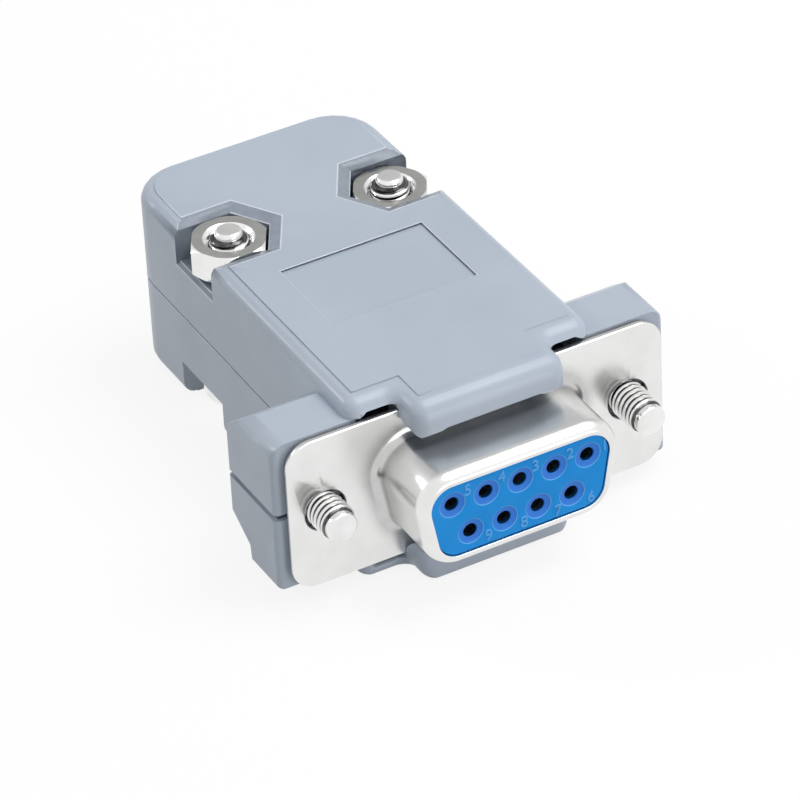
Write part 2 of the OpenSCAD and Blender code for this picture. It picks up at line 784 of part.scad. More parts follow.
// Fine groove that the two halves leave along their seam
module seam() {
    depth = 0.35;
    intersection() {
        linear_extrude(seam_t, center = true)
            difference() {
                polygon(body_outline(-past, -past));
                polygon(body_outline(depth, depth));
            }
        block(-hood_w, hood_w, ear_back, hood_len + past, -seam_t, seam_t);
    }
    both_sides()
        difference() {
            block(hood_w / 2 + depth, ear_x + past, hood_front - past, ear_back + past,
                -ear_seam_t / 2, ear_seam_t / 2);
            block(hood_w / 2, ear_x - depth, hood_front + depth, ear_back - depth,
                -ear_seam_t, ear_seam_t);
        }
}

// Pocket for the hood nut: hexagon with a wide rim, open at the hood's side
module nut_pocket() {
    rim_z = top_z - pocket_rim_depth;
    low_r = hex_r(nut_pocket_flats);
    rim_r = hex_r(pocket_rim_flats);
    half_low = nut_pocket_flats / 2;
    half_rim = pocket_rim_flats / 2;
    ledge = 0.5;
    translate([hood_screw_x, hood_screw_y, floor_z])
        cylinder(r = low_r, h = pocket_depth + past, $fn = 6);
    translate([hood_screw_x, hood_screw_y, rim_z])
        cylinder(r1 = low_r, r2 = rim_r, h = pocket_rim_depth, $fn = 6);
    translate([hood_screw_x, hood_screw_y, top_z])
        cylinder(r = rim_r, h = past, $fn = 6);
    // The way out to the side: a trough with the same sloped rim
    translate([hood_screw_x, hood_screw_y, 0])
        rotate([90, 0, 90])
            linear_extrude(hood_w)
                polygon([[-half_low, floor_z], [half_low, floor_z], [half_low, rim_z],
                    [half_rim, top_z], [half_rim, top_z + past], [-half_rim, top_z + past],
                    [-half_rim, top_z], [-half_low, rim_z]]);
    // The sloped edge of the ledge that the nut stands on
    translate([hood_w / 2 - ledge, hood_screw_y + half_low, floor_z])
        rotate([90, 0, 0])
            linear_extrude(2 * half_low)
                polygon([[0, 0], [ledge, -ledge / 2], [3 * ledge, -ledge / 2], [3 * ledge, 0]]);
}

// Pocket for a hood screw's head: round, open at the hood's side
module head_pocket() {
    translate([hood_screw_x, hood_screw_y, -top_z - past])
        cylinder(r = head_pocket_r, h = pocket_depth + past);
    block(hood_screw_x, hood_w, hood_screw_y - head_pocket_r, hood_screw_y + head_pocket_r,
        -top_z - past, -floor_z);
}

module hood_cuts() {
    flange_room();
    d_slab(box_w, box_h, box_r, 3 * seat, hood_front - past, box_reach + wall_t / 2);
    // Room for the round root of the box
    d_slab(box_w, box_h, box_r, box_root_r + seat, hood_front - past, hood_front + box_root_r);
    both_sides() {
        ear_chamber();
        translate([hood_screw_x, hood_screw_y, -top_z])
            cylinder(r = hood_screw_r + pass_gap, h = hood_h);
    }
    seam();
}

module upper_hood() {
    color(hood_grey)
        difference() {
            union() {
                hood_outside(shoulder_r);
                both_sides()
                    upper_ear();
            }
            hood_inside();
            hood_cuts();
            both_sides()
                nut_pocket();
            block(-label_w / 2, label_w / 2, label_y, label_y + label_l, top_z - label_depth,
                top_z + past);
        }
}

// The lower half also carries the seats of the cable clamp
module lower_hood() {
    color(hood_grey)
        difference() {
            union() {
                mirror([0, 0, 1])
                    difference() {
                        hood_outside(under_r);
                        hood_inside();
                    }
                both_sides()
                    lower_ear();
                both_sides()
                    block(clamp_screw_x - 1.2, clamp_span / 2, clamp_y - clamp_w / 2,
                        clamp_y + clamp_w / 2, -ceiling_z - past, -clamp_top);
            }
            hood_cuts();
            both_sides() {
                head_pocket();
                translate([clamp_screw_x, clamp_y, clamp_top - clamp_screw_l - 0.3])
                    cylinder(r = clamp_screw_r + pass_gap, h = clamp_screw_l);
            }
        }
}

upper_hood();
lower_hood();
front_shell();
rear_shell();
front_insulator();
rear_insulator();
contact(1);  // contact_1
contact(2);  // contact_2
contact(3);  // contact_3
contact(4);  // contact_4
contact(5);  // contact_5
contact(6);  // contact_6
contact(7);  // contact_7
contact(8);  // contact_8
contact(9);  // contact_9
jackscrew(-1);  // jackscrew_left
jackscrew(1);  // jackscrew_right
hood_screw(-1);  // hood_screw_left
hood_screw(1);  // hood_screw_right
hood_nut(-1);  // hood_nut_left
hood_nut(1);  // hood_nut_right
clamp_upper();
clamp_lower();
clamp_screw(-1);  // clamp_screw_left
clamp_screw(1);  // clamp_screw_right
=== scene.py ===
"""Nine-way D-sub socket connector in its moulded hood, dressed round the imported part.

Every length in this file is in millimetres and is scaled to metres when a mesh
is made. The mating face looks towards -Y, +Z is up, and the origin is on the
connector's axis in the front plane of its flange.
"""

import logging
import math
from dataclasses import dataclass, field
from enum import Enum
from typing import Callable, Iterable, Sequence

import bmesh
import bpy
from mathutils import Matrix, Vector


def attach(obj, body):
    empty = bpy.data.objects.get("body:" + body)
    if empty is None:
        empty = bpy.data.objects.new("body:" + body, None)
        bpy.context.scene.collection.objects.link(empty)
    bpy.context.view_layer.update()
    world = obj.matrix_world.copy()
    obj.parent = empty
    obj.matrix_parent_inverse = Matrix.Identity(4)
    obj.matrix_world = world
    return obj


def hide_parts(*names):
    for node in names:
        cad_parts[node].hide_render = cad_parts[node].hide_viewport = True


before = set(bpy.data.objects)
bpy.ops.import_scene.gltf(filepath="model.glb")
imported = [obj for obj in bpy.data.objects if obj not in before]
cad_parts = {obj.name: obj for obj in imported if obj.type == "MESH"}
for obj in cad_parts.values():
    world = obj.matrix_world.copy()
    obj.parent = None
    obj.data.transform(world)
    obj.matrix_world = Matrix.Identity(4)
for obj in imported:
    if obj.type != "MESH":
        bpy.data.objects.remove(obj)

LOG = logging.getLogger("connector")
MM = 0.001
CONNECTOR = "connector"
TURN_STEPS = 72
WHITE = (1.0, 1.0, 1.0, 1.0)
LAMP_GAIN = 9.87  # watts that light a white face, one metre away, to the value 1

Pair = tuple[float, float]
Triple = tuple[float, float, float]
Loop = list[bmesh.types.BMVert]
Place = Callable[[float, float, float], Triple]
Target = bpy.types.NodeSocket
Sockets = bpy.types.bpy_prop_collection


class Side(Enum):
    """Which of a left and right pair a piece is, seen from the mating face."""

    LEFT = -1
    RIGHT = 1

    @property
    def word(self) -> str:
        """The side as it stands in a piece's name."""
        return self.name.lower()


class Half(Enum):
    """The two mouldings of the hood."""

    UPPER = "upper_hood"
    LOWER = "lower_hood"


class Slot(Enum):
    """The record's material slots."""

    HOOD = "hood"
    SHELL = "shell"
    REAR_SHELL = "rear_shell"
    INSULATOR = "insulator"
    CONTACT = "contact"
    SCREW = "screw"
    NUT = "nut"
    CLAMP = "clamp"


class Axis(Enum):
    """The axis that a turned piece stands on."""

    Y = "y"
    Z = "z"


def arc(cx: float, cy: float, r: float, start: float, end: float, steps: int) -> list[Pair]:
    """Points of an arc.

    Args:
        cx: First coordinate of the centre.
        cy: Second coordinate of the centre.
        r: Radius.
        start: First angle in degrees.
        end: Last angle in degrees.
        steps: Number of chords.

    Returns:
        steps + 1 points, both ends among them.
    """
    turns = [math.radians(start + (end - start) * i / steps) for i in range(steps + 1)]
    return [(cx + r * math.cos(t), cy + r * math.sin(t)) for t in turns]


def rounded_rectangle(half_w: float, half_h: float, r: float, steps: int) -> list[Pair]:
    """Outline of a rectangle with round corners, counter-clockwise.

    Args:
        half_w: Half of its width.
        half_h: Half of its height.
        r: Radius of its corners.
        steps: Chords in each corner.

    Returns:
        The outline's points.
    """
    x, y = half_w - r, half_h - r
    corners = ((x, y, 0), (-x, y, 90), (-x, -y, 180), (x, -y, 270))
    return [p for cx, cy, a in corners for p in arc(cx, cy, r, a, a + 90, steps)]


@dataclass(frozen=True)
class DOutline:
    """A D with leaning sides and its wide side up.

    Args:
        width: Width across the wide side.
        height: Height.
        radius: Radius of its four corners.
        lean: Lean of the two sides in degrees.
        steps: Chords in each corner.
    """

    width: float
    height: float
    radius: float
    lean: float = 10.0
    steps: int = 20

    def points(self, grow: float = 0.0) -> list[Pair]:
        """The outline in x and z, moved outwards by grow.

        Args:
            grow: Distance that the outline is moved, inwards where negative.

        Returns:
            The outline's points, counter-clockwise seen from the mating face.
        """
        tx, tz = self.width / 2 - self.radius, self.height / 2 - self.radius
        lx = tx - (self.height - 2 * self.radius) * math.tan(math.radians(self.lean))
        g = max(self.radius + grow, 0.05)
        return (
            arc(tx, tz, g, -self.lean, 90, self.steps)
            + arc(-tx, tz, g, 90, 180 + self.lean, self.steps)
            + arc(-lx, -tz, g, 180 + self.lean, 270, self.steps)
            + arc(lx, -tz, g, 270, 360 - self.lean, self.steps)
        )


FRONT_D = DOutline(16.33, 7.9, 2.6)
REAR_D = DOutline(19.28, 10.72, 3.2)


class MeshBuilder:
    """Gathers loops, skins and fills into one mesh, in millimetres."""

    def __init__(self) -> None:
        """Starts with an empty mesh."""
        self.bm = bmesh.new()

    def loop(self, points: Iterable[Triple]) -> Loop:
        """Adds one closed loop of points and returns its vertices."""
        return [self.bm.verts.new(p) for p in points]

    def y_loop(self, outline: Sequence[Pair], y: float) -> Loop:
        """Adds an outline given in x and z as a loop in the plane at y."""
        return self.loop((x, y, z) for x, z in outline)

    def skin(self, a: Loop, b: Loop) -> None:
        """Joins two loops of as many points by a band of quads."""
        n = len(a)
        for i in range(n):
            j = (i + 1) % n
            self.bm.faces.new((a[i], a[j], b[j], b[i]))

    def skins(self, loops: Sequence[Loop], closed: bool = False) -> None:
        """Joins loops one after another.

        Args:
            loops: The loops in order.
            closed: Whether the last one is joined to the first.
        """
        for a, b in zip(loops, loops[1:]):
            self.skin(a, b)
        if closed:
            self.skin(loops[-1], loops[0])

    def cap(self, loop: Loop) -> None:
        """Closes a loop by one face."""
        self.bm.faces.new(loop)

    def fill(self, *loops: Loop) -> None:
        """Fills the flat area between an outer loop and the holes in it."""
        edges = []
        for loop in loops:
            for i, vert in enumerate(loop):
                other = loop[(i + 1) % len(loop)]
                edges.append(self.bm.edges.get((vert, other)) or self.bm.edges.new((vert, other)))
        bmesh.ops.triangle_fill(self.bm, edges=edges, use_beauty=True, use_dissolve=False)

    def finish(self, name: str) -> bpy.types.Object:
        """Makes the object.

        Args:
            name: Name of the object and of its mesh.

        Returns:
            The object, in metres, linked to the scene.
        """
        bmesh.ops.remove_doubles(self.bm, verts=self.bm.verts, dist=1e-4)
        bmesh.ops.recalc_face_normals(self.bm, faces=self.bm.faces)
        bmesh.ops.scale(self.bm, vec=(MM, MM, MM), verts=self.bm.verts)
        return mesh_object(name, self.bm)


def place_object(name: str, data: bpy.types.ID) -> bpy.types.Object:
    """Puts a mesh, curve, lamp or camera into the scene and returns its object."""
    obj = bpy.data.objects.new(name, data)
    bpy.context.scene.collection.objects.link(obj)
    return obj


def mesh_object(name: str, bm: bmesh.types.BMesh) -> bpy.types.Object:
    """Turns gathered geometry into an object, frees it and returns the object."""
    mesh = bpy.data.meshes.new(name)
    bm.to_mesh(mesh)
    bm.free()
    return place_object(name, mesh)


def modify(obj: bpy.types.Object, kind: str, **settings: object) -> None:
    """Applies one modifier to the mesh of a piece.

    Args:
        obj: The piece.
        kind: Type of the modifier.
        settings: Its settings.
    """
    modifier = obj.modifiers.new(kind, kind)
    for label, value in settings.items():
        setattr(modifier, label, value)
    graph = bpy.context.evaluated_depsgraph_get()
    mesh = bpy.data.meshes.new_from_object(obj.evaluated_get(graph))
    mesh.name = obj.name
    obj.modifiers.clear()
    obj.data = mesh


def round_edges(obj: bpy.types.Object, width: float, angle: float, behind: float,
                mark: str, splits: Sequence[float]) -> None:
    """Rounds the long outward edges of a moulding and marks the rounds, which get a painted
    highlight.

    Faces too narrow for a round and edges next to very short ones are left as they are.

    Args:
        obj: The piece.
        width: Width of each round in millimetres.
        angle: Edges that turn outwards by more than this many degrees are rounded.
        behind: Only edges further back than this are rounded.
        mark: Mesh attribute that becomes 1 on the rounds, where the finish paints a highlight.
        splits: Places in y where large faces are parted, as they are at the middle in x.
    """
    bm = bmesh.new()
    bm.from_mesh(obj.data)
    across, along = Vector((1, 0, 0)), Vector((0, 1, 0))
    for way, place in ((across, 0.0), *((along, y) for y in splits)):
        bmesh.ops.bisect_plane(bm, geom=bm.verts[:] + bm.edges[:] + bm.faces[:],
                               dist=0.002 * MM, plane_co=way * place * MM, plane_no=way)
    layer = bm.faces.layers.float.new(mark)
    room = 1.6 * width * MM
    slender = 0.55 * room
    edges = []
    for edge in bm.edges:
        if len(edge.link_faces) != 2 or min(v.co.y for v in edge.verts) < behind * MM:
            continue
        deep = all(f.calc_area() > slender * f.calc_perimeter() for f in edge.link_faces)
        free = all(e.calc_length() > room for v in edge.verts for e in v.link_edges)
        if deep and free and edge.calc_face_angle_signed(0.0) > math.radians(angle):
            edges.append(edge)
    made = bmesh.ops.bevel(bm, geom=edges, offset=width * MM, offset_type="OFFSET", segments=2,
                           profile=0.5, affect="EDGES", clamp_overlap=False)
    LOG.info("%s: %d outward edges rounded", obj.name, len(edges))
    for face in made["faces"]:
        face[layer] = 1.0
    bm.to_mesh(obj.data)
    bm.free()


def smooth(obj: bpy.types.Object, angle: float, weighted: bool = True) -> None:
    """Shades a piece smooth, but for the edges that turn by more than angle.

    Args:
        obj: The piece.
        angle: Limit in degrees.
        weighted: Whether large faces keep their own normals.
    """
    mesh = obj.data
    mesh.polygons.foreach_set("use_smooth", [True] * len(mesh.polygons))
    mesh.set_sharp_from_angle(angle=math.radians(angle))
    if weighted:
        modify(obj, "WEIGHTED_NORMAL", keep_sharp=True, mode="FACE_AREA")


def carve(obj: bpy.types.Object, tool: bpy.types.Object) -> None:
    """Cuts a tool's form out of a piece and removes the tool."""
    modify(obj, "BOOLEAN", operation="DIFFERENCE", solver="EXACT", object=tool)
    bpy.data.objects.remove(tool)


def box_tool(low: Triple, high: Triple) -> bpy.types.Object:
    """A cutting block between two corners, in millimetres, to be used up by carve."""
    b = MeshBuilder()
    (x0, y0, z0), (x1, y1, z1) = low, high
    rings = [b.loop(((x0, y0, z), (x1, y0, z), (x1, y1, z), (x0, y1, z))) for z in (z0, z1)]
    b.skins(rings)
    for ring in rings:
        b.cap(ring)
    return b.finish("cutting_block")


def mark_faces(obj: bpy.types.Object, name: str,
               test: Callable[[Vector, Vector], float]) -> None:
    """Stores a value on each face, as a mesh attribute.

    Args:
        obj: The piece.
        name: Name of the attribute.
        test: Takes a face's centre in millimetres and its normal, and gives the value.
    """
    values = [float(test(f.center / MM, f.normal)) for f in obj.data.polygons]
    obj.data.attributes.new(name, "FLOAT", "FACE").data.foreach_set("value", values)


def mark_points(obj: bpy.types.Object, name: str, test: Callable[[Vector], float]) -> None:
    """Stores a value on each point, as a mesh attribute.

    Args:
        obj: The piece.
        name: Name of the attribute.
        test: Takes a point in millimetres and gives the value.
    """
    values = [test(v.co / MM) for v in obj.data.vertices]
    obj.data.attributes.new(name, "FLOAT", "POINT").data.foreach_set("value", values)


def from_node(name: str, node: bpy.types.Object) -> bpy.types.Object:
    """A new piece with the shape of a CAD node, in as few flat faces as it has.

    Faces that the node's mesh folds back onto themselves are laid out flat again.

    Args:
        name: Name of the new piece.
        node: The CAD node, which isn't changed.

    Returns:
        The new piece.
    """
    bm = bmesh.new()
    bm.from_mesh(node.data)
    bmesh.ops.remove_doubles(bm, verts=bm.verts, dist=0.004 * MM)
    bmesh.ops.dissolve_limit(
        bm, angle_limit=math.radians(0.4), verts=bm.verts, edges=bm.edges, delimit={"NORMAL"}
    )
    folds = [e for e in bm.edges
             if len(e.link_faces) == 2 and e.calc_face_angle(0.0) > math.radians(179.0)]
    bmesh.ops.dissolve_edges(bm, edges=folds, use_verts=False)
    LOG.info("%s: %d folded edges mended", name, len(folds))
    return mesh_object(name, bm)


def standing(axis: Axis, x: float, other: float) -> Place:
    """How a turned piece's own coordinates are placed in the frame.

    Args:
        axis: The axis that the piece stands on.
        x: The axis' place in x.
        other: Its place in z for a piece on Y, or in y for one on Z.

    Returns:
        A function of radius, turn in radians and distance along the axis.
    """
    if axis is Axis.Y:
        return lambda r, t, w: (x + r * math.sin(t), w, other + r * math.cos(t))
    return lambda r, t, w: (x + r * math.cos(t), other + r * math.sin(t), w)


def turned(b: MeshBuilder, place: Place, section: Sequence[Pair],
           steps: int = TURN_STEPS) -> list[Loop]:
    """Turns a half section of radius and distance into bands.

    Args:
        b: Builder that gets the bands.
        place: Where the piece stands.
        section: The section's points.
        steps: Points in each ring.

    Returns:
        The rings, in the section's order.
    """
    rings = [
        b.loop(place(r, 2 * math.pi * j / steps, w) for j in range(steps)) for r, w in section
    ]
    b.skins(rings)
    return rings


@dataclass(frozen=True)
class Thread:
    """A right-handed screw thread with narrow roots and slightly flat crests.

    Args:
        crest: Radius over the crests.
        root: Radius at the roots.
        pitch: Distance between crests.
        start: Where it begins along the axis.
        end: Where it ends.
        lead_in: Length over which its first turn grows to full height.
        run_out: Length over which its last turn fades.
        per_pitch: Points across one turn.
    """

    crest: float
    root: float
    pitch: float
    start: float
    end: float
    lead_in: float
    run_out: float
    per_pitch: int = 10

    def radius(self, phase: float, w: float) -> float:
        """Radius of the surface.

        Args:
            phase: Place within one turn, from 0 to 1.
            w: Distance along the axis.

        Returns:
            The radius, lower where the thread leads in or runs out.
        """
        wave = min(1.3 * (1.0 - abs(2.0 * phase - 1.0)), 1.0)
        height = (self.crest - self.root) * wave * (1.5 - 0.5 * wave)
        lead = min(max((w - self.start) / self.lead_in, 0.0), 1.0)
        fade = min(max((self.end - w) / self.run_out, 0.0), 1.0)
        return self.root + height * min(lead, fade)

    def build(self, b: MeshBuilder, place: Place) -> tuple[Loop, Loop]:
        """Adds the threaded surface.

        Args:
            b: Builder that gets it.
            place: Where the screw stands.

        Returns:
            The rings at the thread's start and at its end.
        """
        n, per = TURN_STEPS, self.per_pitch
        rows = math.ceil(per * ((self.end - self.start) / self.pitch + 1))
        columns: list[Loop] = []
        for j in range(n):
            column = []
            for i in range(rows + 1):
                w = self.start + self.pitch * (i / per + j / n - 1)
                w = min(max(w, self.start), self.end)
                phase = ((w - self.start) / self.pitch - j / n) % 1.0
                point = place(self.radius(phase, w), 2 * math.pi * j / n, w)
                known = column and (column[-1].co - Vector(point)).length < 1e-6
                column.append(column[-1] if known else b.bm.verts.new(point))
            columns.append(column)

        def at(j: int, i: int) -> bmesh.types.BMVert:
            """A point of a column. The first column follows the last, one turn further on."""
            return columns[j % n][min(max(i + per * (j // n), 0), rows)]

        for j in range(n):
            for i in range(-per, rows):
                corners = dict.fromkeys((at(j, i), at(j + 1, i), at(j + 1, i + 1), at(j, i + 1)))
                if len(corners) > 2:
                    b.bm.faces.new(corners)
        return [c[0] for c in columns], [c[-1] for c in columns]


def linear(code: str) -> tuple[float, float, float, float]:
    """Scene colour of an sRGB code such as b3becb."""
    parts = [int(code[i : i + 2], 16) / 255 for i in (0, 2, 4)]
    r, g, b = [c / 12.92 if c <= 0.04045 else ((c + 0.055) / 1.055) ** 2.4 for c in parts]
    return (r, g, b, 1.0)


class Graph:
    """Short ways to place and join the nodes of one tree."""

    def __init__(self, tree: bpy.types.NodeTree) -> None:
        """Keeps the tree that the nodes go into."""
        self.tree = tree

    def node(self, kind: str, **settings: object) -> bpy.types.Node:
        """Places a node and sets its properties."""
        made = self.tree.nodes.new(kind)
        for label, value in settings.items():
            setattr(made, label, value)
        return made

    def join(self, source: Target, target: Target) -> None:
        """Links one socket to another."""
        self.tree.links.new(source, target)

    def set(self, target: Target, value: object) -> None:
        """Links a socket to target, or sets target to a plain value."""
        if isinstance(value, bpy.types.NodeSocket):
            self.join(value, target)
        else:
            target.default_value = value

    def noise(self, vector: Target, scale: object, detail: float, rough: float = 0.5) -> Target:
        """Noise from 0 to 1.

        Args:
            vector: Coordinates.
            scale: Scale, as a number or a socket.
            detail: Octaves.
            rough: Roughness of the octaves.

        Returns:
            The noise's value.
        """
        made = self.node("ShaderNodeTexNoise")
        self.join(vector, made.inputs["Vector"])
        self.set(made.inputs["Scale"], scale)
        made.inputs["Detail"].default_value = detail
        made.inputs["Roughness"].default_value = rough
        return made.outputs["Fac"]

    def ramp(self, value: Target, low: object, high: object, out_low: object = 0.0,
             out_high: object = 1.0) -> Target:
        """Maps a value smoothly from one range to another.

        Args:
            value: The value.
            low: Start of its range.
            high: End of its range.
            out_low: Result at the start.
            out_high: Result at the end.

        Returns:
            The mapped value.
        """
        made = self.node("ShaderNodeMapRange", interpolation_type="SMOOTHSTEP")
        self.join(value, made.inputs["Value"])
        for label, given in zip(("From Min", "From Max", "To Min", "To Max"),
                                (low, high, out_low, out_high)):
            self.set(made.inputs[label], given)
        return made.outputs["Result"]

    def maths(self, operation: str, *values: object) -> Target:
        """Result of a Math node on one to three values."""
        made = self.node("ShaderNodeMath", operation=operation)
        for target, value in zip(made.inputs, values):
            self.set(target, value)
        return made.outputs[0]

    def blend(self, share: object, a: object, b: object) -> Target:
        """Mixes two colours.

        Args:
            share: Share of the second colour.
            a: First colour.
            b: Second colour.

        Returns:
            The mixed colour.
        """
        made = self.node("ShaderNodeMix", data_type="RGBA")
        self.set(made.inputs[0], share)
        self.set(made.inputs[6], a)
        self.set(made.inputs[7], b)
        return made.outputs[2]

    def shader(self, kind: str, *values: object) -> Target:
        """Places a shader, fills its first inputs and returns its output."""
        made = self.node(kind)
        for target, value in zip(made.inputs, values):
            self.set(target, value)
        return made.outputs[0]


class Effects:
    """The effects that more than one finish uses: shader node groups, each built once.

    Every group takes a Vector, the numbers and colours listed here, and has one output,
    which is a colour where the group takes colours.
    """

    _inputs: dict[str, tuple[tuple[str, ...], tuple[str, ...]]] = {
        "mottle": (("Scale",), ("Tint", "Deep")),
        "grain": (("Scale", "Depth"), ()),
        "handling": (("Scale", "Smooth", "Rough"), ()),
        "uneven": (("Mask", "From", "To"), ()),
    }
    _made: dict[str, bpy.types.NodeTree] = {}

    @classmethod
    def get(cls, name: str) -> bpy.types.NodeTree:
        """The group of that name, built at its first use."""
        if name not in cls._made:
            tree = bpy.data.node_groups.new(name, "ShaderNodeTree")
            numbers, colours = cls._inputs[name]
            sockets = [("Vector", "Vector"), *((label, "Float") for label in numbers),
                       *((label, "Color") for label in colours)]
            for label, kind in sockets:
                tree.interface.new_socket(label, in_out="INPUT", socket_type=f"NodeSocket{kind}")
            tree.interface.new_socket("Result", in_out="OUTPUT",
                                      socket_type=f"NodeSocket{sockets[-1][1]}")
            g = Graph(tree)
            result = getattr(cls, f"_{name}")(g, g.node("NodeGroupInput").outputs)
            g.join(result, g.node("NodeGroupOutput").inputs[0])
            cls._made[name] = tree
        return cls._made[name]

    @staticmethod
    def _mottle(g: Graph, i: Sockets) -> Target:
        """Slow change of a colour over a surface, between two near tints."""
        wide = g.noise(i["Vector"], i["Scale"], 3.0, 0.55)
        return g.blend(g.ramp(wide, 0.35, 0.68), i["Tint"], i["Deep"])

    @staticmethod
    def _grain(g: Graph, i: Sockets) -> Target:
        """Height of the fine spark-eroded grain of a mould, or of a plated sheet."""
        fine = g.noise(i["Vector"], i["Scale"], 2.0, 0.6)
        coarse = g.noise(i["Vector"], g.maths("MULTIPLY", i["Scale"], 0.23), 1.0)
        both = g.maths("ADD", g.maths("MULTIPLY", fine, 0.6), g.maths("MULTIPLY", coarse, 0.4))
        return g.maths("MULTIPLY", both, i["Depth"])

    @staticmethod
    def _handling(g: Graph, i: Sockets) -> Target:
        """Roughness that changes in soft smudges, with a few finer scuffs."""
        soft = g.noise(i["Vector"], i["Scale"], 3.0, 0.6)
        scuffs = g.noise(i["Vector"], g.maths("MULTIPLY", i["Scale"], 7.0), 4.0, 0.65)
        share = g.maths("ADD", g.ramp(soft, 0.35, 0.7, 0.0, 0.7),
                        g.ramp(scuffs, 0.58, 0.75, 0.0, 0.3))
        return g.ramp(share, 0.0, 1.0, i["Smooth"], i["Rough"])

    @staticmethod
    def _uneven(g: Graph, i: Sockets) -> Target:
        """Share of a place with painted shade or a painted highlight, with its border a little
        broken by noise.
        """
        broken = g.ramp(g.noise(i["Vector"], 900.0, 3.0, 0.6), 0.3, 0.7, 0.82, 1.0)
        return g.maths("MULTIPLY", g.ramp(i["Mask"], i["From"], i["To"]), broken)


class Dresser(Graph):
    """A material under work: its Principled shader, its coordinates and its effects."""

    def __init__(self, name: str) -> None:
        """Makes the material with its shader and object coordinates."""
        self.material = bpy.data.materials.new(name)
        self.material.use_nodes = True
        super().__init__(self.material.node_tree)
        self.shader = self.tree.nodes["Principled BSDF"]
        self.vector = self.node("ShaderNodeTexCoord").outputs["Object"]

    def effect(self, name: str, **values: object) -> Target:
        """Places a shared effect.

        Args:
            name: The effect.
            values: Values or sockets for its inputs.

        Returns:
            Its output.
        """
        placed = self.node("ShaderNodeGroup", node_tree=Effects.get(name))
        self.join(self.vector, placed.inputs["Vector"])
        for label, value in values.items():
            self.set(placed.inputs[label], value)
        return placed.outputs[0]

    def shade(self, mark: str, low: float, high: float) -> Target:
        """Share that a mesh attribute gives, from none at low to all at high."""
        mask = self.node("ShaderNodeAttribute", attribute_name=mark).outputs["Fac"]
        return self.effect("uneven", Mask=mask, From=low, To=high)

    def relief(self, height: Target) -> None:
        """Feeds a height, in metres, to the normal through a bump."""
        bump = self.node("ShaderNodeBump")
        bump.inputs["Strength"].default_value = 1.0
        bump.inputs["Distance"].default_value = 1.0
        self.join(height, bump.inputs["Height"])
        self.join(bump.outputs["Normal"], self.shader.inputs["Normal"])


@dataclass(frozen=True)
class Finish:
    """What all finishes share: two near tints, smudged roughness and a fine relief.

    Args:
        name: Name of the material.
        tint: Lighter colour.
        deep: Darker colour.
        smooth: Lowest roughness.
        rough: Highest roughness.
        grain: Depth of the relief in millimetres.
        grain_scale: Scale of the relief, per metre.
        mottle: Scale of the tints' change, per metre.
        clouds: Scale of the changes in roughness, per metre.
    """

    name: str
    tint: str
    deep: str
    smooth: float
    rough: float
    grain: float
    grain_scale: float
    mottle: float
    clouds: float

    def build(self) -> bpy.types.Material:
        """Makes the material."""
        d = Dresser(self.name)
        tint = d.effect("mottle", Scale=self.mottle, Tint=linear(self.tint),
                        Deep=linear(self.deep))
        rough = d.effect("handling", Scale=self.clouds, Smooth=self.smooth, Rough=self.rough)
        tint, rough = self.shade(d, tint, rough)
        d.join(tint, d.shader.inputs["Base Color"])
        d.join(rough, d.shader.inputs["Roughness"])
        d.relief(d.effect("grain", Scale=self.grain_scale, Depth=self.grain * MM))
        return d.material

    def shade(self, d: Dresser, tint: Target, rough: Target) -> tuple[Target, Target]:
        """Changes colour and roughness at marked places; a plain finish has none."""
        return tint, rough


@dataclass(frozen=True)
class MouldedPlastic(Finish):
    """Moulded plastic whose marked places get painted shade and painted highlights.

    Args:
        gloss: Specular level.
        marks: Mesh attributes with the colour of the shade or highlight that each paints where it
            is one.
    """

    smooth: float = 0.38
    rough: float = 0.52
    grain: float = 0.004
    grain_scale: float = 5200.0
    mottle: float = 95.0
    clouds: float = 140.0
    gloss: float = 0.5
    marks: tuple[tuple[str, str], ...] = ()

    def shade(self, d: Dresser, tint: Target, rough: Target) -> tuple[Target, Target]:
        """Paints in the shade and highlights of the marks and sets the gloss."""
        for mark, colour in self.marks:
            tint = d.blend(d.shade(mark, 0.0, 1.0), tint, linear(colour))
        d.shader.inputs["Specular IOR Level"].default_value = self.gloss
        return tint, rough


@dataclass(frozen=True)
class PlatedMetal(Finish):
    """Plated metal with shade painted into its colour where a mesh attribute says so.

    Args:
        shaded: Mesh attribute that paints shade into the colour, or an empty word.
        root: Colour of the painted shade where that attribute is one.
        shade_from: Value of the attribute from which it darkens.
        shade_to: Value at which it is fully dark.
        shade_rough: Roughness that full shade adds.
    """

    smooth: float = 0.16
    rough: float = 0.28
    grain: float = 0.0008
    grain_scale: float = 2400.0
    mottle: float = 260.0
    clouds: float = 160.0
    shaded: str = ""
    root: str = "4a4a4c"
    shade_from: float = 0.05
    shade_to: float = 0.45
    shade_rough: float = 0.0

    def shade(self, d: Dresser, tint: Target, rough: Target) -> tuple[Target, Target]:
        """Paints shade into the marked places, dulls them and makes the shader a metal's."""
        if self.shaded:
            share = d.shade(self.shaded, self.shade_from, self.shade_to)
            tint = d.blend(share, tint, linear(self.root))
            rough = d.maths("MULTIPLY_ADD", share, self.shade_rough, rough)
        d.shader.inputs["Metallic"].default_value = 1.0
        return tint, rough


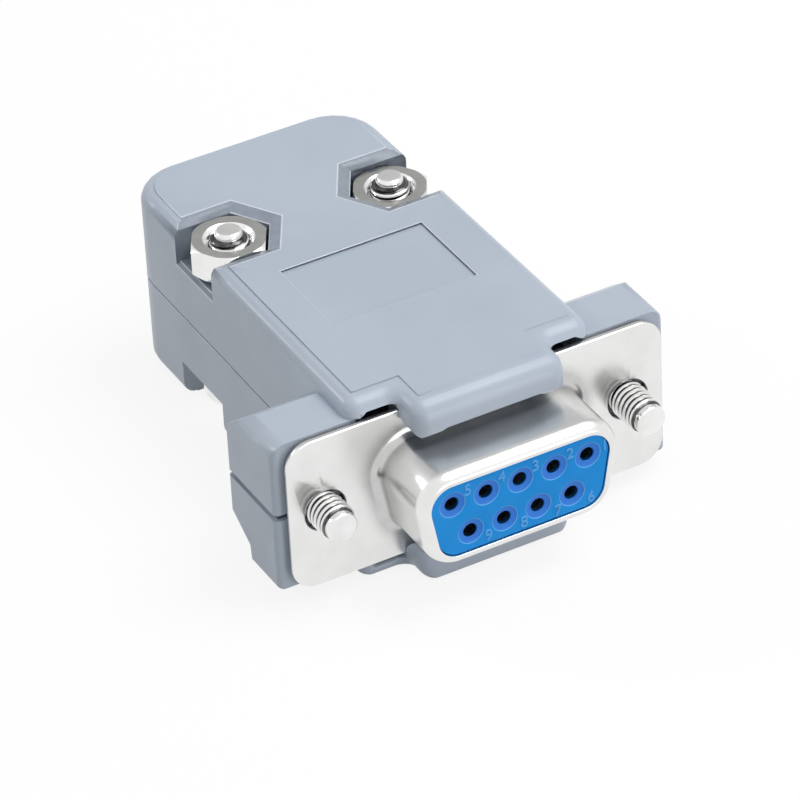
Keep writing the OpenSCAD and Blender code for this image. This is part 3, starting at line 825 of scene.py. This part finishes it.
@dataclass(frozen=True)
class Finishes:
    """The connector's finishes."""

    # The hood's recess mark paints shade, 3c4351, into its nut pockets, pocket rims, seam grooves
    # and label recess walls.
    hood: MouldedPlastic = MouldedPlastic(
        "hood_grey_plastic", "b6c1ce", "b1bcca", smooth=0.32, rough=0.44,
        # The hood's edge mark paints a highlight, dbe1ec, on the small rounds.
        marks=(("painted_recess_shade", "3c4351"), ("edge", "dbe1ec")))
    # The insulator's lead_in mark paints shade on the lead-in cones, its rim mark paints a
    # highlight on each hole's lip and on the numbers, and its bore mark paints near-black shade
    # down the bores.
    insulator: MouldedPlastic = MouldedPlastic(
        "blue_insulator_plastic", "1c9ef4", "1797ec", smooth=0.34, rough=0.44, grain=0.002,
        grain_scale=6500.0, gloss=0.22,
        marks=(("lead_in", "3d85ea"), ("rim", "7cc6fa"), ("bore", "0a1524")))
    # The shell's drawn mark paints shade, 6c6c6d, round the root of the D.
    shell: PlatedMetal = PlatedMetal("bright_nickel_shell", "eaeae9", "e4e4e3", 0.23, 0.27,
                                     clouds=45.0, shaded="drawn", root="6c6c6d",
                                     shade_from=0.0, shade_to=1.0)
    rear_shell: PlatedMetal = PlatedMetal("satin_tin_shell", "b9b8b6", "a9a8a7", 0.3, 0.42)
    contact: PlatedMetal = PlatedMetal("tin_contact", "cfcecc", "b7b6b3", 0.22, 0.36)
    # The screws' root mark paints near-black shade, 1a1b1d, into the thread's roots.
    screw: PlatedMetal = PlatedMetal("bright_screw", "f2f2f1", "e2e2e1", 0.13, 0.22,
                                     shaded="root", root="1a1b1d", shade_from=0.0, shade_to=0.3)
    # The nuts' faced mark paints a darker grey, b4b4b2, onto their flat top and bottom faces and
    # makes them rougher.
    nut: PlatedMetal = PlatedMetal("bright_nut", "f0f0ef", "e4e4e3", 0.16, 0.26,
                                   shaded="flat_face_painted_shade", root="b4b4b2", shade_rough=0.14)
    clamp: PlatedMetal = PlatedMetal("zinc_clamp", "c4c3c1", "b3b2b0", 0.3, 0.45)


class Wardrobe:
    """Builds each finish once and dresses pieces and CAD nodes in it."""

    def __init__(self) -> None:
        """Builds the materials of all slots."""
        f = Finishes()
        self.materials = {slot: getattr(f, slot.value).build() for slot in Slot}

    def dress(self, obj: bpy.types.Object, slot: Slot, body: str, *nodes: str) -> None:
        """Gives a new piece its finish, its body and the nodes that it replaces.

        Args:
            obj: The piece.
            slot: Its finish.
            body: The body that it rides on.
            nodes: The CAD nodes that it stands for.
        """
        obj.data.materials.clear()
        obj.data.materials.append(self.materials[slot])
        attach(obj, body)
        if nodes:
            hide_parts(*nodes)
        LOG.info("%s: %d faces on %s", obj.name, len(obj.data.polygons), body)

    def redress(self, node: str, slot: Slot) -> None:
        """Gives a CAD node that keeps its shape a better finish."""
        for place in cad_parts[node].material_slots:
            place.material = self.materials[slot]
        LOG.info("%s: CAD shape kept, finish %s", node, slot.value)


@dataclass
class Hood:
    """The two moulded halves, with the mould's small rounds on their edges, a painted highlight on
    those rounds and painted shade in their pockets, seam grooves and label recess.
    """

    smooth_angle: float = 32.0
    edge_round: float = 0.06
    sharp_from: float = 19.0
    round_behind: float = 9.5
    splits: tuple[float, ...] = (8.8, 19.4)
    pocket_x: float = 6.8
    pocket_y: float = 24.6
    pocket_reach: float = 3.9
    pocket_low: float = 4.0
    rim_reach: float = 3.95
    rim_near: float = 2.2
    rim_z: float = 7.46
    # Shares of the painted shade on pocket rims, pocket walls, label recess walls and seam grooves.
    rim_shade: float = 0.48
    wall_shade: float = 0.85
    left_wall_shade: float = 0.6
    seam_shade: float = 0.95
    seam_half: float = 0.26
    ear_back: float = 8.0
    ear_x: float = 16.105
    body_half: float = 10.0
    rear: float = 36.0
    skin: float = 0.25
    label_half: float = 5.9
    label_rear: float = 18.2
    label_z: float = 7.46

    def build(self, wardrobe: Wardrobe) -> None:
        """Makes both halves."""
        for half in Half:
            obj = from_node(f"hood_{half.name.lower()}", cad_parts[half.value])
            # The rounds carry the edge mark, a painted highlight.
            round_edges(obj, self.edge_round, self.sharp_from, self.round_behind, "edge",
                        self.splits)
            smooth(obj, self.smooth_angle)
            # Painted shade in the pockets, on their rims, on the label recess's far walls and in
            # the seam grooves.
            mark_faces(obj, "painted_recess_shade", self.recess_shade)
            wardrobe.dress(obj, Slot.HOOD, CONNECTOR, half.value)

    def recess_shade(self, at: Vector, normal: Vector) -> float:
        """How much painted shade a face gets in the moulding's hollows.

        Args:
            at: The face's centre in millimetres.
            normal: Its normal.

        Returns:
            A share for seam grooves, nut pockets and the far walls of the label recess,
            and 0 elsewhere.
        """
        near_pocket = abs(at.y - self.pocket_y) < self.rim_reach and abs(at.x) > self.rim_near
        if near_pocket and at.z > self.rim_z and 0.9 < normal.z < 0.995:
            return self.rim_shade
        away = math.hypot(abs(at.x) - self.pocket_x, at.y - self.pocket_y)
        in_pocket = away < self.pocket_reach and self.pocket_low < at.z < self.rim_z
        if in_pocket and not self.on_skin(at):
            wall = self.wall_shade if at.x > 0.0 else self.left_wall_shade
            return wall if abs(normal.z) < 0.5 else self.rim_shade
        far_wall = abs(at.y - self.label_rear) < 0.02 or abs(at.x - self.label_half) < 0.02
        if far_wall and at.z > self.label_z and min(normal.x, normal.y) < -0.5:
            return self.wall_shade
        seam = abs(at.z) < self.seam_half and max(abs(normal.x), abs(normal.y)) > 0.9
        return self.seam_shade if seam and not self.on_skin(at) else 0.0

    def on_skin(self, at: Vector) -> bool:
        """Whether a point near the seam lies on the outer walls and not in the groove."""
        ear = at.y < self.ear_back + 0.01
        half_w = self.ear_x if ear else self.body_half
        return abs(at.x) > half_w - self.skin or at.y > self.rear - self.skin


@dataclass
class Shells:
    """The drawn front shell and the rear shell with its box."""

    sheet: float = 0.4
    root: float = 0.7
    box_root: float = 0.35
    join: float = 0.15
    reach: float = 6.14
    turn_r: float = 1.2
    turn_angle: float = 58.0
    turn_depth: float = 0.87
    half_w: float = 15.405
    half_h: float = 6.275
    corner: float = 2.0
    screw_x: float = 12.495
    hole_r: float = 1.65
    box_straight: float = 2.8
    box_reach: float = 4.0
    roll: float = 1.2
    turn_in: float = 1.8
    # Reach, depth, strength and extent of the shade painted round the root of the D.
    shade_reach: float = 1.95
    shade_depth: float = 4.6
    shade_most: float = 0.42
    shade_half_w: float = 10.5
    shade_half_h: float = 6.0
    edge_r: float = 0.1
    lip_r: float = 0.04
    lip_flat: tuple[Pair, ...] = ((-0.53, 0.024), (-0.59, 0.005), (-0.65, 0.0))
    smooth_angle: float = 40.0

    def _drawn(self, name: str, outline: DOutline, section: Sequence[Pair], y0: float,
               trim: float) -> bpy.types.Object:
        """A shell: its drawn part and the flange round it, which has small rounds.

        Args:
            name: Name of the piece.
            outline: Outline of the drawn part.
            section: Growth of the outline and place in y, from the flange's front to its back.
            y0: The flange's front plane.
            trim: Distance that the flange's outline is drawn in.

        Returns:
            The piece.
        """
        b = MeshBuilder()
        drawn = [b.y_loop(outline.points(g), y) for g, y in section]
        b.skins(drawn)
        e = self.edge_r
        rounds = [*arc(-e, y0 + e, e, -90, 0, 4), *arc(-e, y0 + self.sheet - e, e, 0, 90, 4)]
        rims = []
        for grow, y in rounds:
            w, h = self.half_w - trim + grow, self.half_h - trim + grow
            rims.append(b.y_loop(rounded_rectangle(w, h, self.corner - trim + grow, 16), y))
        b.skins(rims)
        bore = [(self.hole_r - x, y) for x, y in rounds]
        holes = [turned(b, standing(Axis.Y, side.value * self.screw_x, 0.0), bore, 64)
                 for side in Side]
        b.fill(rims[0], drawn[0], *[rings[0] for rings in holes])
        b.fill(rims[-1], drawn[-1], *[rings[-1] for rings in holes])
        obj = b.finish(name)
        smooth(obj, self.smooth_angle)
        return obj

    def front(self) -> bpy.types.Object:
        """The front shell: a D drawn forward out of the flange, its front end turned in, with
        painted shade round its root.
        """
        s, r, t, y = self.sheet, self.root, self.turn_r, -self.reach
        turn_y = t * math.sin(math.radians(self.turn_angle)) + y
        inner = math.degrees(math.acos((t - self.turn_depth) / (t - s)))
        lip = self.lip_r
        section = [(self.shade_reach, 0.0), (r + self.join, 0.0), *arc(r, -r, r, 90, 180, 12),
                   *arc(-t, turn_y, t, 0, 8 - self.turn_angle, 12),
                   *((grow, y + back) for grow, back in self.lip_flat),
                   *arc(lip - self.turn_depth, y + lip, lip, 270, 180, 4),
                   *arc(-t, turn_y, t - s, -inner, 0, 8),
                   *arc(r, -r, r + s, 180, 90, 12), (r + self.join, s)]
        obj = self._drawn("front_shell_drawn", FRONT_D, section, 0.0, 0.0)
        edge = FRONT_D.points(self.shade_reach)

        def shade(p: Vector) -> float:
            """Painted shade at a point: deepest in the root of the D, none on the flange outside.
            """
            faded = min(math.hypot(p.x - x, p.z - z) for x, z in edge) < 0.05
            if faded or abs(p.x) > self.shade_half_w or abs(p.z) > self.shade_half_h:
                return 0.0
            share = 1.0 - min(max(-p.y - self.root, 0.0) / self.shade_depth, 1.0)
            return self.shade_most * share * share

        # The attribute drawn carries the painted shade round the D's root.
        mark_points(obj, "drawn", shade)
        return obj

    def rear(self) -> bpy.types.Object:
        """The rear shell: a deeper box whose back edge rolls in."""
        s, r = self.sheet, self.box_root
        section = [(r + self.join, s), *arc(r, 2 * s + r, r + s, 270, 180, 8),
                   *arc(-self.roll, self.box_straight, self.roll - s, 0, 90, 8),
                   (-self.turn_in, self.box_reach - s), (-self.turn_in, self.box_reach),
                   *arc(-self.roll, self.box_straight, self.roll, 90, 0, 8),
                   *arc(r, 2 * s + r, r, 180, 270, 8), (r + self.join, 2 * s)]
        return self._drawn("rear_shell_drawn", REAR_D, section, s, s / 2)

    def build(self, wardrobe: Wardrobe) -> None:
        """Makes both shells."""
        wardrobe.dress(self.front(), Slot.SHELL, CONNECTOR, "front_shell")
        wardrobe.dress(self.rear(), Slot.REAR_SHELL, CONNECTOR, "rear_shell")


@dataclass
class Insulator:
    """The blue plug in the D, with nine lead-in holes and their raised numbers."""

    face_y: float = -6.0
    turn_y: float = -5.122
    split_y: float = 2.35
    foot_y: float = 0.45
    lead_r: float = 1.0
    # rim_r and lead_in_end bound the painted highlight and painted shade round each hole.
    rim_r: float = 0.97
    lead_in_end: float = 0.25
    lead_cone: tuple[Pair, ...] = ((0.93, 0.08), (0.59, 0.12), (0.54, 0.19))
    bore_r: float = 0.54
    barrel_y: float = -5.5
    barrel_r: float = 0.87
    collar_y: float = 1.2
    collar_r: float = 1.13
    inset: float = 0.45
    nose_inset: float = 0.93
    pitch: float = 2.77
    row_gap: float = 2.84
    digit_height: float = 1.3
    digit_rise: float = 0.06
    digit_round: float = 0.012
    # Share of the painted highlight on the numbers' fronts and on their sides.
    digit_highlight: Pair = (0.55, 0.9)
    edge_r: float = 0.07
    lip_r: float = 0.05
    smooth_angle: float = 38.0
    digits: dict[int, Pair] = field(default_factory=lambda: {
        1: (6.91, 1.79), 2: (4.07, 2.11), 3: (1.23, 2.17), 4: (-1.54, 2.29), 5: (-4.31, 2.23),
        6: (5.69, -2.32), 7: (2.93, -2.44), 8: (0.16, -2.33), 9: (-2.75, -2.33)})

    def holes(self) -> list[Pair]:
        """Centres of the nine holes in x and z."""
        wide = [((3 - n) * self.pitch, self.row_gap / 2) for n in range(1, 6)]
        return wide + [((7.5 - n) * self.pitch, -self.row_gap / 2) for n in range(6, 10)]

    def body(self) -> bpy.types.Object:
        """The moulding: plug, foot and stepped holes."""
        b = MeshBuilder()
        e, lip = self.edge_r, self.lip_r
        outer = [b.y_loop(FRONT_D.points(g - self.nose_inset), y)
                 for g, y in arc(-e, self.face_y + e, e, -90, 0, 5)]
        for inset, y in ((self.nose_inset, self.turn_y), (self.inset, self.turn_y),
                         (self.inset, self.foot_y)):
            outer.append(b.y_loop(FRONT_D.points(-inset), y))
        b.skins(outer)
        foot = [b.y_loop(REAR_D.points(-self.inset), y) for y in (self.foot_y, self.split_y)]
        b.skins(foot)
        b.fill(foot[0], outer[-1])
        section = [
            *[(self.lead_r + lip - x, self.face_y + lip - y) for x, y in arc(0, 0, lip, 90, 20, 3)],
            *((r, self.face_y + back) for r, back in self.lead_cone),
            (self.bore_r, self.barrel_y), (self.barrel_r, self.barrel_y),
            (self.barrel_r, self.collar_y), (self.collar_r, self.collar_y),
            (self.collar_r, self.split_y)]
        rings = [turned(b, standing(Axis.Y, x, z), section, 48) for x, z in self.holes()]
        b.fill(outer[0], *[r[0] for r in rings])
        b.fill(foot[1], *[r[-1] for r in rings])
        obj = b.finish("front_insulator_moulding")
        smooth(obj, self.smooth_angle)
        # Painted shade on the lead-in cones, a painted highlight on each hole's rounded lip, and
        # painted near-black shade down the bores.
        bands = (
            ("lead_in", self.bore_r - lip, self.rim_r, self.lead_in_end),
            ("rim", self.rim_r, self.lead_r + lip + 0.01, lip),
            ("bore", 0.0, self.bore_r + 0.01, self.barrel_y - self.face_y))
        for mark, near, far, depth in bands:
            mark_faces(obj, mark, lambda at, normal: self.hole_band(at, near, far, depth))
        return obj

    def hole_band(self, at: Vector, near: float, far: float, depth: float) -> float:
        """Whether a face lies in a ring band of one of the holes, where shade and highlights are
        painted.

        Args:
            at: The face's centre in millimetres.
            near: Inner radius of the band.
            far: Its outer radius.
            depth: How far behind the insulator's face it ends.

        Returns:
            1 inside the band and 0 outside.
        """
        gap = min(math.hypot(at.x - x, at.z - z) for x, z in self.holes())
        return float(near < gap < far and -0.01 < at.y - self.face_y < depth)

    def numbers(self) -> list[bpy.types.Object]:
        """The raised contact numbers, one mesh each, with a painted highlight that is strongest on
        their sides.
        """
        made = []
        front, side = self.digit_highlight
        for digit, (x, z) in self.digits.items():
            curve = bpy.data.curves.new(f"number_{digit}", "FONT")
            curve.body = str(digit)
            curve.size = self.digit_height * MM
            curve.align_x = curve.align_y = "CENTER"
            curve.extrude = self.digit_rise * MM
            curve.bevel_depth = self.digit_round * MM
            curve.resolution_u = 4
            text = place_object(f"number_{digit}", curve)
            text.matrix_world = (Matrix.Translation(Vector((x, self.face_y, z)) * MM)
                                 @ Matrix.Rotation(math.pi / 2, 4, "X"))
            bpy.context.view_layer.update()
            graph = bpy.context.evaluated_depsgraph_get()
            mesh = bpy.data.meshes.new_from_object(text.evaluated_get(graph))
            mesh.transform(text.matrix_world)
            bpy.data.objects.remove(text)
            obj = place_object(f"contact_number_{digit}", mesh)
            # Painted highlight on the numbers, stronger on their sides than on their fronts.
            mark_faces(obj, "rim", lambda at, normal: front if normal.y < -0.9 else side)
            made.append(obj)
        return made

    def build(self, wardrobe: Wardrobe) -> None:
        """Makes the moulding and its numbers, and dresses the rear insulator."""
        wardrobe.dress(self.body(), Slot.INSULATOR, CONNECTOR, "front_insulator")
        for obj in self.numbers():
            wardrobe.dress(obj, Slot.INSULATOR, CONNECTOR)
        wardrobe.redress("rear_insulator", Slot.INSULATOR)


@dataclass
class Contacts:
    """The nine contacts, which keep their CAD shape."""

    ways: int = 9

    def build(self, wardrobe: Wardrobe) -> None:
        """Dresses the contacts."""
        for n in range(1, self.ways + 1):
            wardrobe.redress(f"contact_{n}", Slot.CONTACT)


@dataclass(frozen=True)
class Screw:
    """A turned screw: a plain end, a thread and another plain end.

    Args:
        name: Name of the piece.
        axis: The axis that it stands on.
        x: The axis' place in x.
        other: Its place in z for a screw on Y, or in y for one on Z.
        near: Half section before the thread, from its axis outwards.
        thread: The thread.
        far: Half section after it.
        slots: Corners of the blocks that are cut out of its head.
        unshaded: Radius from which the thread has no painted shade.
        shaded: Stretch of the axis where shade is painted into the thread's roots.
    """

    name: str
    axis: Axis
    x: float
    other: float
    near: Sequence[Pair]
    thread: Thread
    far: Sequence[Pair]
    slots: Sequence[tuple[Triple, Triple]]
    unshaded: float
    shaded: Pair

    def build(self) -> bpy.types.Object:
        """Makes the piece, with the depth in its thread as the attribute root, which paints shade
        into the thread's roots.
        """
        b = MeshBuilder()
        place = standing(self.axis, self.x, self.other)
        near = turned(b, place, self.near)
        b.cap(near[0])
        start, end = self.thread.build(b, place)
        b.skin(near[-1], start)
        far = turned(b, place, self.far)
        b.skin(end, far[0])
        b.cap(far[-1])
        obj = b.finish(self.name)
        for low, high in self.slots:
            carve(obj, box_tool(low, high))
        smooth(obj, 30.0, False)
        mark_points(obj, "root", self.root_shade)
        return obj

    def root_shade(self, p: Vector) -> float:
        """How deep in the thread a point lies, from 0 to 1, as the share of painted shade."""
        side, w = (p.z, p.y) if self.axis is Axis.Y else (p.y, p.z)
        r = math.hypot(p.x - self.x, side - self.other)
        depth = (self.unshaded - r) / (self.unshaded - self.thread.root)
        low, high = self.shaded
        return min(max(depth, 0.0), 1.0) if low <= w <= high else 0.0


@dataclass
class Jackscrews:
    """The two long screws that turn in the hood's ears."""

    screw_x: float = 12.495
    stand_left: float = 2.55
    stand_right: float = 3.3
    head_y: float = 3.05
    nose_r: float = 1.2
    crest: float = 1.42
    root: float = 1.07
    pitch: float = 0.5
    thread_end: float = 0.76
    neck_r: float = 1.2
    head_r: float = 2.1
    head_l: float = 2.4
    head_round: float = 0.25
    head_edge: float = 0.12
    nose_l: float = 0.62
    nose_round: float = 0.15
    slot_half: float = 0.4
    slot_depth: float = 1.0

    def screw(self, side: Side) -> Screw:
        """One jackscrew.

        Args:
            side: Which one.

        Returns:
            Its measures, to be built.
        """
        x, head_y, edge = side.value * self.screw_x, self.head_y, self.head_edge
        tip = -(self.stand_left if side is Side.LEFT else self.stand_right)
        begin, far = tip + self.nose_l, head_y + self.head_l
        nose = [(self.nose_r - 0.6, tip), (self.nose_r - 0.2, tip),
                *arc(self.nose_r - self.nose_round, tip + self.nose_round, self.nose_round,
                     -80, 0, 4),
                (self.nose_r, begin - 0.16), (self.root - 0.02, begin - 0.04)]
        head = [(self.neck_r, self.thread_end + 0.06), (self.neck_r, head_y),
                (self.head_r - edge, head_y), (self.head_r, head_y + edge),
                (self.head_r, far - self.head_round), (self.head_r - self.head_round, far),
                (0.6, far)]
        slot = ((x - self.slot_half, far - self.slot_depth, -3.0),
                (x + self.slot_half, far + self.slot_depth, 3.0))
        thread = Thread(self.crest, self.root, self.pitch, begin, self.thread_end, 0.2, 0.15)
        return Screw(f"jackscrew_{side.word}_turned", Axis.Y, x, 0.0, nose, thread, head,
                     (slot,), self.crest - 0.08, (begin - 0.06, self.thread_end))

    def build(self, wardrobe: Wardrobe) -> None:
        """Makes both jackscrews."""
        for side in Side:
            name = f"jackscrew_{side.word}"
            wardrobe.dress(self.screw(side).build(), Slot.SCREW, name, name)


@dataclass
class HoodFasteners:
    """The screws and hexagon nuts that hold the two halves together."""

    screw_x: float = 6.8
    screw_y: float = 24.6
    seat_z: float = -4.6
    head_h: float = 2.0
    head_r: float = 2.75
    crest: float = 1.49
    root: float = 1.2
    pitch: float = 0.5
    tip_z: float = 8.0
    tip_most: float = 8.1
    left_lift: float = 0.4
    nose_r: float = 1.04
    flats: float = 5.5
    nut_low: float = 4.6
    nut_high: float = 7.0
    nut_mouth: tuple[Pair, ...] = ((1.53, 0.45), (1.9, 0.05), (1.97, 0.0))
    nut_foot: float = 0.4
    nut_round: float = 0.05
    nut_turns: int = 96
    nut_slope: float = 0.7
    dome_r: float = 1.0
    head_edge: float = 0.1
    nose_l: float = 0.62
    nose_round: float = 0.38
    cross: tuple[Pair, Pair] = ((1.5, 0.3), (0.3, 1.5))
    cross_depth: float = 1.1

    def lift(self, side: Side) -> float:
        """How much higher a nut and its screw's end stand than the right ones."""
        return self.left_lift if side is Side.LEFT else 0.0

    def screw(self, side: Side) -> Screw:
        """One screw, with a domed head and a cross recess below.

        Args:
            side: Which one.

        Returns:
            Its measures, to be built.
        """
        x, y, seat = side.value * self.screw_x, self.screw_y, self.seat_z
        low = seat - self.head_h
        dome = [(0.5, low), *arc(self.head_r - self.dome_r, low + self.dome_r, self.dome_r,
                                 -80, 0, 7),
                (self.head_r, seat - self.head_edge), (self.head_r - self.head_edge, seat),
                (self.root, seat)]
        tip = min(self.tip_z + self.lift(side), self.tip_most)
        end = tip - self.nose_l
        nose = [(self.root - 0.14, end + 0.05), (self.nose_r - 0.03, end + 0.16),
                (self.nose_r, tip - 0.42),
                *arc(self.nose_r - self.nose_round, tip - self.nose_round, self.nose_round,
                     0, 84, 8),
                (0.4, tip)]
        slots = [((x - wide, y - thin, low - 1.0), (x + wide, y + thin, low + self.cross_depth))
                 for wide, thin in self.cross]
        thread = Thread(self.crest, self.root, self.pitch, seat + 0.02, end, 0.3, 0.2, 8)
        return Screw(f"hood_screw_{side.word}_turned", Axis.Z, x, y, dome, thread, nose, slots,
                     self.crest - 0.06, (seat, end + 0.1))

    def nut(self, side: Side) -> bpy.types.Object:
        """One nut: a hexagon with its corners turned away above and below.

        Args:
            side: Which one.

        Returns:
            The piece.
        """
        b = MeshBuilder()
        place = standing(Axis.Z, side.value * self.screw_x, self.screw_y)
        half = self.flats / 2
        turns = [360 * j / self.nut_turns for j in range(self.nut_turns)]
        corners = [half / math.cos(math.radians((t % 60) - 30)) for t in turns]
        rims = [min(r, half + 0.05) for r in corners]
        drops = [(r - rim) * self.nut_slope for r, rim in zip(corners, rims)]

        def ring(radii: Sequence[float], z: float, slope: float = 0.0) -> Loop:
            """A ring with its own radii, whose height follows the corners' slope."""
            return b.loop(place(r, math.radians(t), z + slope * d)
                          for t, r, d in zip(turns, radii, drops))

        def level(r: float, z: float) -> Loop:
            """A round ring."""
            return ring([r] * self.nut_turns, z)

        bottom, top = (z + self.lift(side) for z in (self.nut_low, self.nut_high))
        mouth = [level(r, top - sink) for r, sink in self.nut_mouth]
        b.skins([*mouth, ring(rims, top), ring(corners, top, -1.0),
                 ring(corners, bottom, 1.0), ring(rims, bottom),
                 level(self.nut_mouth[-1][0], bottom),
                 level(self.nut_mouth[0][0], bottom + self.nut_foot)], closed=True)
        obj = b.finish(f"hood_nut_{side.word}_hexagon")
        modify(obj, "BEVEL", width=self.nut_round * MM, segments=2, limit_method="ANGLE",
               angle_limit=math.radians(20.0), miter_outer="MITER_ARC")
        smooth(obj, 30.0)
        # Painted shade and more roughness on the flat top and bottom faces.
        mark_faces(obj, "flat_face_painted_shade", lambda at, normal: abs(normal.z) > 0.97)
        return obj

    def build(self, wardrobe: Wardrobe) -> None:
        """Makes both screws and both nuts."""
        for side in Side:
            wardrobe.dress(self.screw(side).build(), Slot.SCREW, CONNECTOR,
                           f"hood_screw_{side.word}")
            wardrobe.dress(self.nut(side), Slot.NUT, CONNECTOR, f"hood_nut_{side.word}")


@dataclass
class CableClamp:
    """The clamp's two straps and screws, which keep their CAD shape."""

    straps: tuple[str, ...] = ("clamp_upper", "clamp_lower")

    def build(self, wardrobe: Wardrobe) -> None:
        """Dresses the straps and screws."""
        for node in self.straps:
            wardrobe.redress(node, Slot.CLAMP)
        for side in Side:
            wardrobe.redress(f"clamp_screw_{side.word}", Slot.NUT)


@dataclass
class Studio:
    """Camera, floor, world and soft lamps."""

    azimuth: float = -27.541
    elevation: float = 35.358
    roll: float = -3.035
    distance: float = 383.513
    shift_right: float = -5.648
    shift_up: float = 3.88
    focal_px: float = 5353.997
    frame_px: float = 800.0
    floor_z: float = -7.7
    floor_r: Triple = (60.0, 600.0, 2500.0)
    floor_steps: int = 48
    floor_grey: tuple[float, ...] = (0.45, 0.45, 0.46, 1.0)
    floor_glow: float = 0.86
    sky_low: float = 0.3
    sky_high: float = 0.56
    lamps: tuple[tuple[str, Triple, Triple, float, float], ...] = (
        ("key", (210.0, -60.0, 430.0), (0.0, 15.0, 0.0), 300.0, 0.5),
        ("front", (120.0, -420.0, 60.0), (0.0, 0.0, 0.0), 260.0, 0.3),
        ("rim", (-260.0, 300.0, 190.0), (0.0, 15.0, 0.0), 70.0, 0.14))
    wall_way: Triple = (0.377, 0.723, 0.579)
    wall_level: float = 0.62

    def camera(self) -> None:
        """Makes the camera at the photograph's viewing angle."""
        a, e, t = (math.radians(v) for v in (self.azimuth, self.elevation, self.roll))
        back = Vector((math.sin(a) * math.cos(e), -math.cos(a) * math.cos(e), math.sin(e)))
        right = Vector((math.cos(a), math.sin(a), 0.0))
        up = back.cross(right)
        r2 = math.cos(t) * right + math.sin(t) * up
        u2 = -math.sin(t) * right + math.cos(t) * up
        centre = (back * self.distance + r2 * self.shift_right + u2 * self.shift_up) * MM
        data = bpy.data.cameras.new("camera")
        data.sensor_width = 36.0
        data.lens = self.focal_px / self.frame_px * data.sensor_width
        data.clip_start = 0.01
        data.clip_end = 10.0
        obj = place_object("camera", data)
        turn = Matrix((r2, u2, back)).transposed().to_4x4()
        obj.matrix_world = Matrix.Translation(centre) @ turn
        bpy.context.scene.camera = obj

    def floor(self) -> None:
        """Lays the pale floor, which shows white and keeps a soft shadow."""
        b = MeshBuilder()
        last = 360.0 * (1.0 - 1.0 / self.floor_steps)
        rings = [b.loop((x, y, self.floor_z)
                        for x, y in arc(0.0, 0.0, r, 0.0, last, self.floor_steps - 1))
                 for r in self.floor_r]
        b.skins(rings)
        b.cap(rings[0])
        obj = b.finish("floor")
        material = bpy.data.materials.new("pale_floor")
        obj.data.materials.append(material)
        g, rays, seen = self.open_tree(material)
        cover = g.shader("ShaderNodeBsdfDiffuse", self.floor_grey)
        white = g.shader("ShaderNodeBsdfDiffuse", WHITE)
        glow = g.shader("ShaderNodeEmission", WHITE, 1.0)
        soft = g.shader("ShaderNodeMixShader", self.floor_glow, white, glow)
        shown = g.shader("ShaderNodeMixShader", seen, cover, soft)
        g.join(shown, g.node("ShaderNodeOutputMaterial").inputs["Surface"])

    @staticmethod
    def open_tree(owner: bpy.types.Material | bpy.types.World) -> tuple[Graph, Sockets, Target]:
        """Empties the node tree of a material or world and looks at the rays that meet it.

        Args:
            owner: The material or world.

        Returns:
            Its graph, the outputs of its Light Path, and 1 for camera and glossy rays.
        """
        owner.use_nodes = True
        owner.node_tree.nodes.clear()
        g = Graph(owner.node_tree)
        rays = g.node("ShaderNodeLightPath").outputs
        return g, rays, g.maths("MAXIMUM", rays["Is Camera Ray"], rays["Is Glossy Ray"])

    def world(self) -> None:
        """White for the camera, nearly so for reflections, softer for the light it gives."""
        world = bpy.data.worlds.new("studio")
        bpy.context.scene.world = world
        g, rays, seen = self.open_tree(world)
        way = g.node("ShaderNodeTexCoord").outputs["Generated"]
        height = g.node("ShaderNodeSeparateXYZ")
        g.join(way, height.inputs[0])
        lit = g.ramp(height.outputs["Z"], 0.0, 0.9, self.sky_low, self.sky_high)
        wall = g.node("ShaderNodeVectorMath", operation="DOT_PRODUCT")
        g.join(way, wall.inputs[0])
        wall.inputs[1].default_value = self.wall_way
        zone = g.ramp(wall.outputs["Value"], 0.55, 0.95, 1.0, self.wall_level)
        strength = g.node("ShaderNodeMix", data_type="FLOAT")
        for place, value in ((0, g.maths("MAXIMUM", seen, rays["Is Transmission Ray"])),
                             (2, lit), (3, g.maths("MAXIMUM", zone, rays["Is Camera Ray"]))):
            g.join(value, strength.inputs[place])
        sky = g.shader("ShaderNodeBackground", WHITE, strength.outputs[0])
        g.join(sky, g.node("ShaderNodeOutputWorld").inputs["Surface"])

    @staticmethod
    def lamp(name: str, at: Triple, aim: Triple, size: float, level: float) -> None:
        """Adds a soft square lamp.

        Args:
            name: Its name.
            at: Its centre.
            aim: The point that it looks at.
            size: Its side.
            level: The value that it alone gives to a white face turned to it at aim.
        """
        data = bpy.data.lights.new(name, "AREA")
        data.shape = "SQUARE"
        data.size = size * MM
        gap = (Vector(at) - Vector(aim)).length * MM
        data.energy = LAMP_GAIN * gap * gap * level
        way = (Vector(at) - Vector(aim)).to_track_quat("Z", "Y").to_matrix().to_4x4()
        place_object(name, data).matrix_world = Matrix.Translation(Vector(at) * MM) @ way

    def build(self) -> None:
        """Sets up the studio."""
        self.camera()
        self.floor()
        self.world()
        for lamp in self.lamps:
            self.lamp(*lamp)
        bpy.context.scene.view_settings.view_transform = "Standard"


def main() -> None:
    """Builds the studio and dresses the part, one sub-assembly after another."""
    logging.basicConfig(level=logging.INFO, format="%(name)s: %(message)s")
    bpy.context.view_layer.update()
    Studio().build()
    wardrobe = Wardrobe()
    for assembly in (Hood(), Shells(), Insulator(), Contacts(), Jackscrews(), HoodFasteners(),
                     CableClamp()):
        assembly.build(wardrobe)


if __name__ == "__main__":
    main()
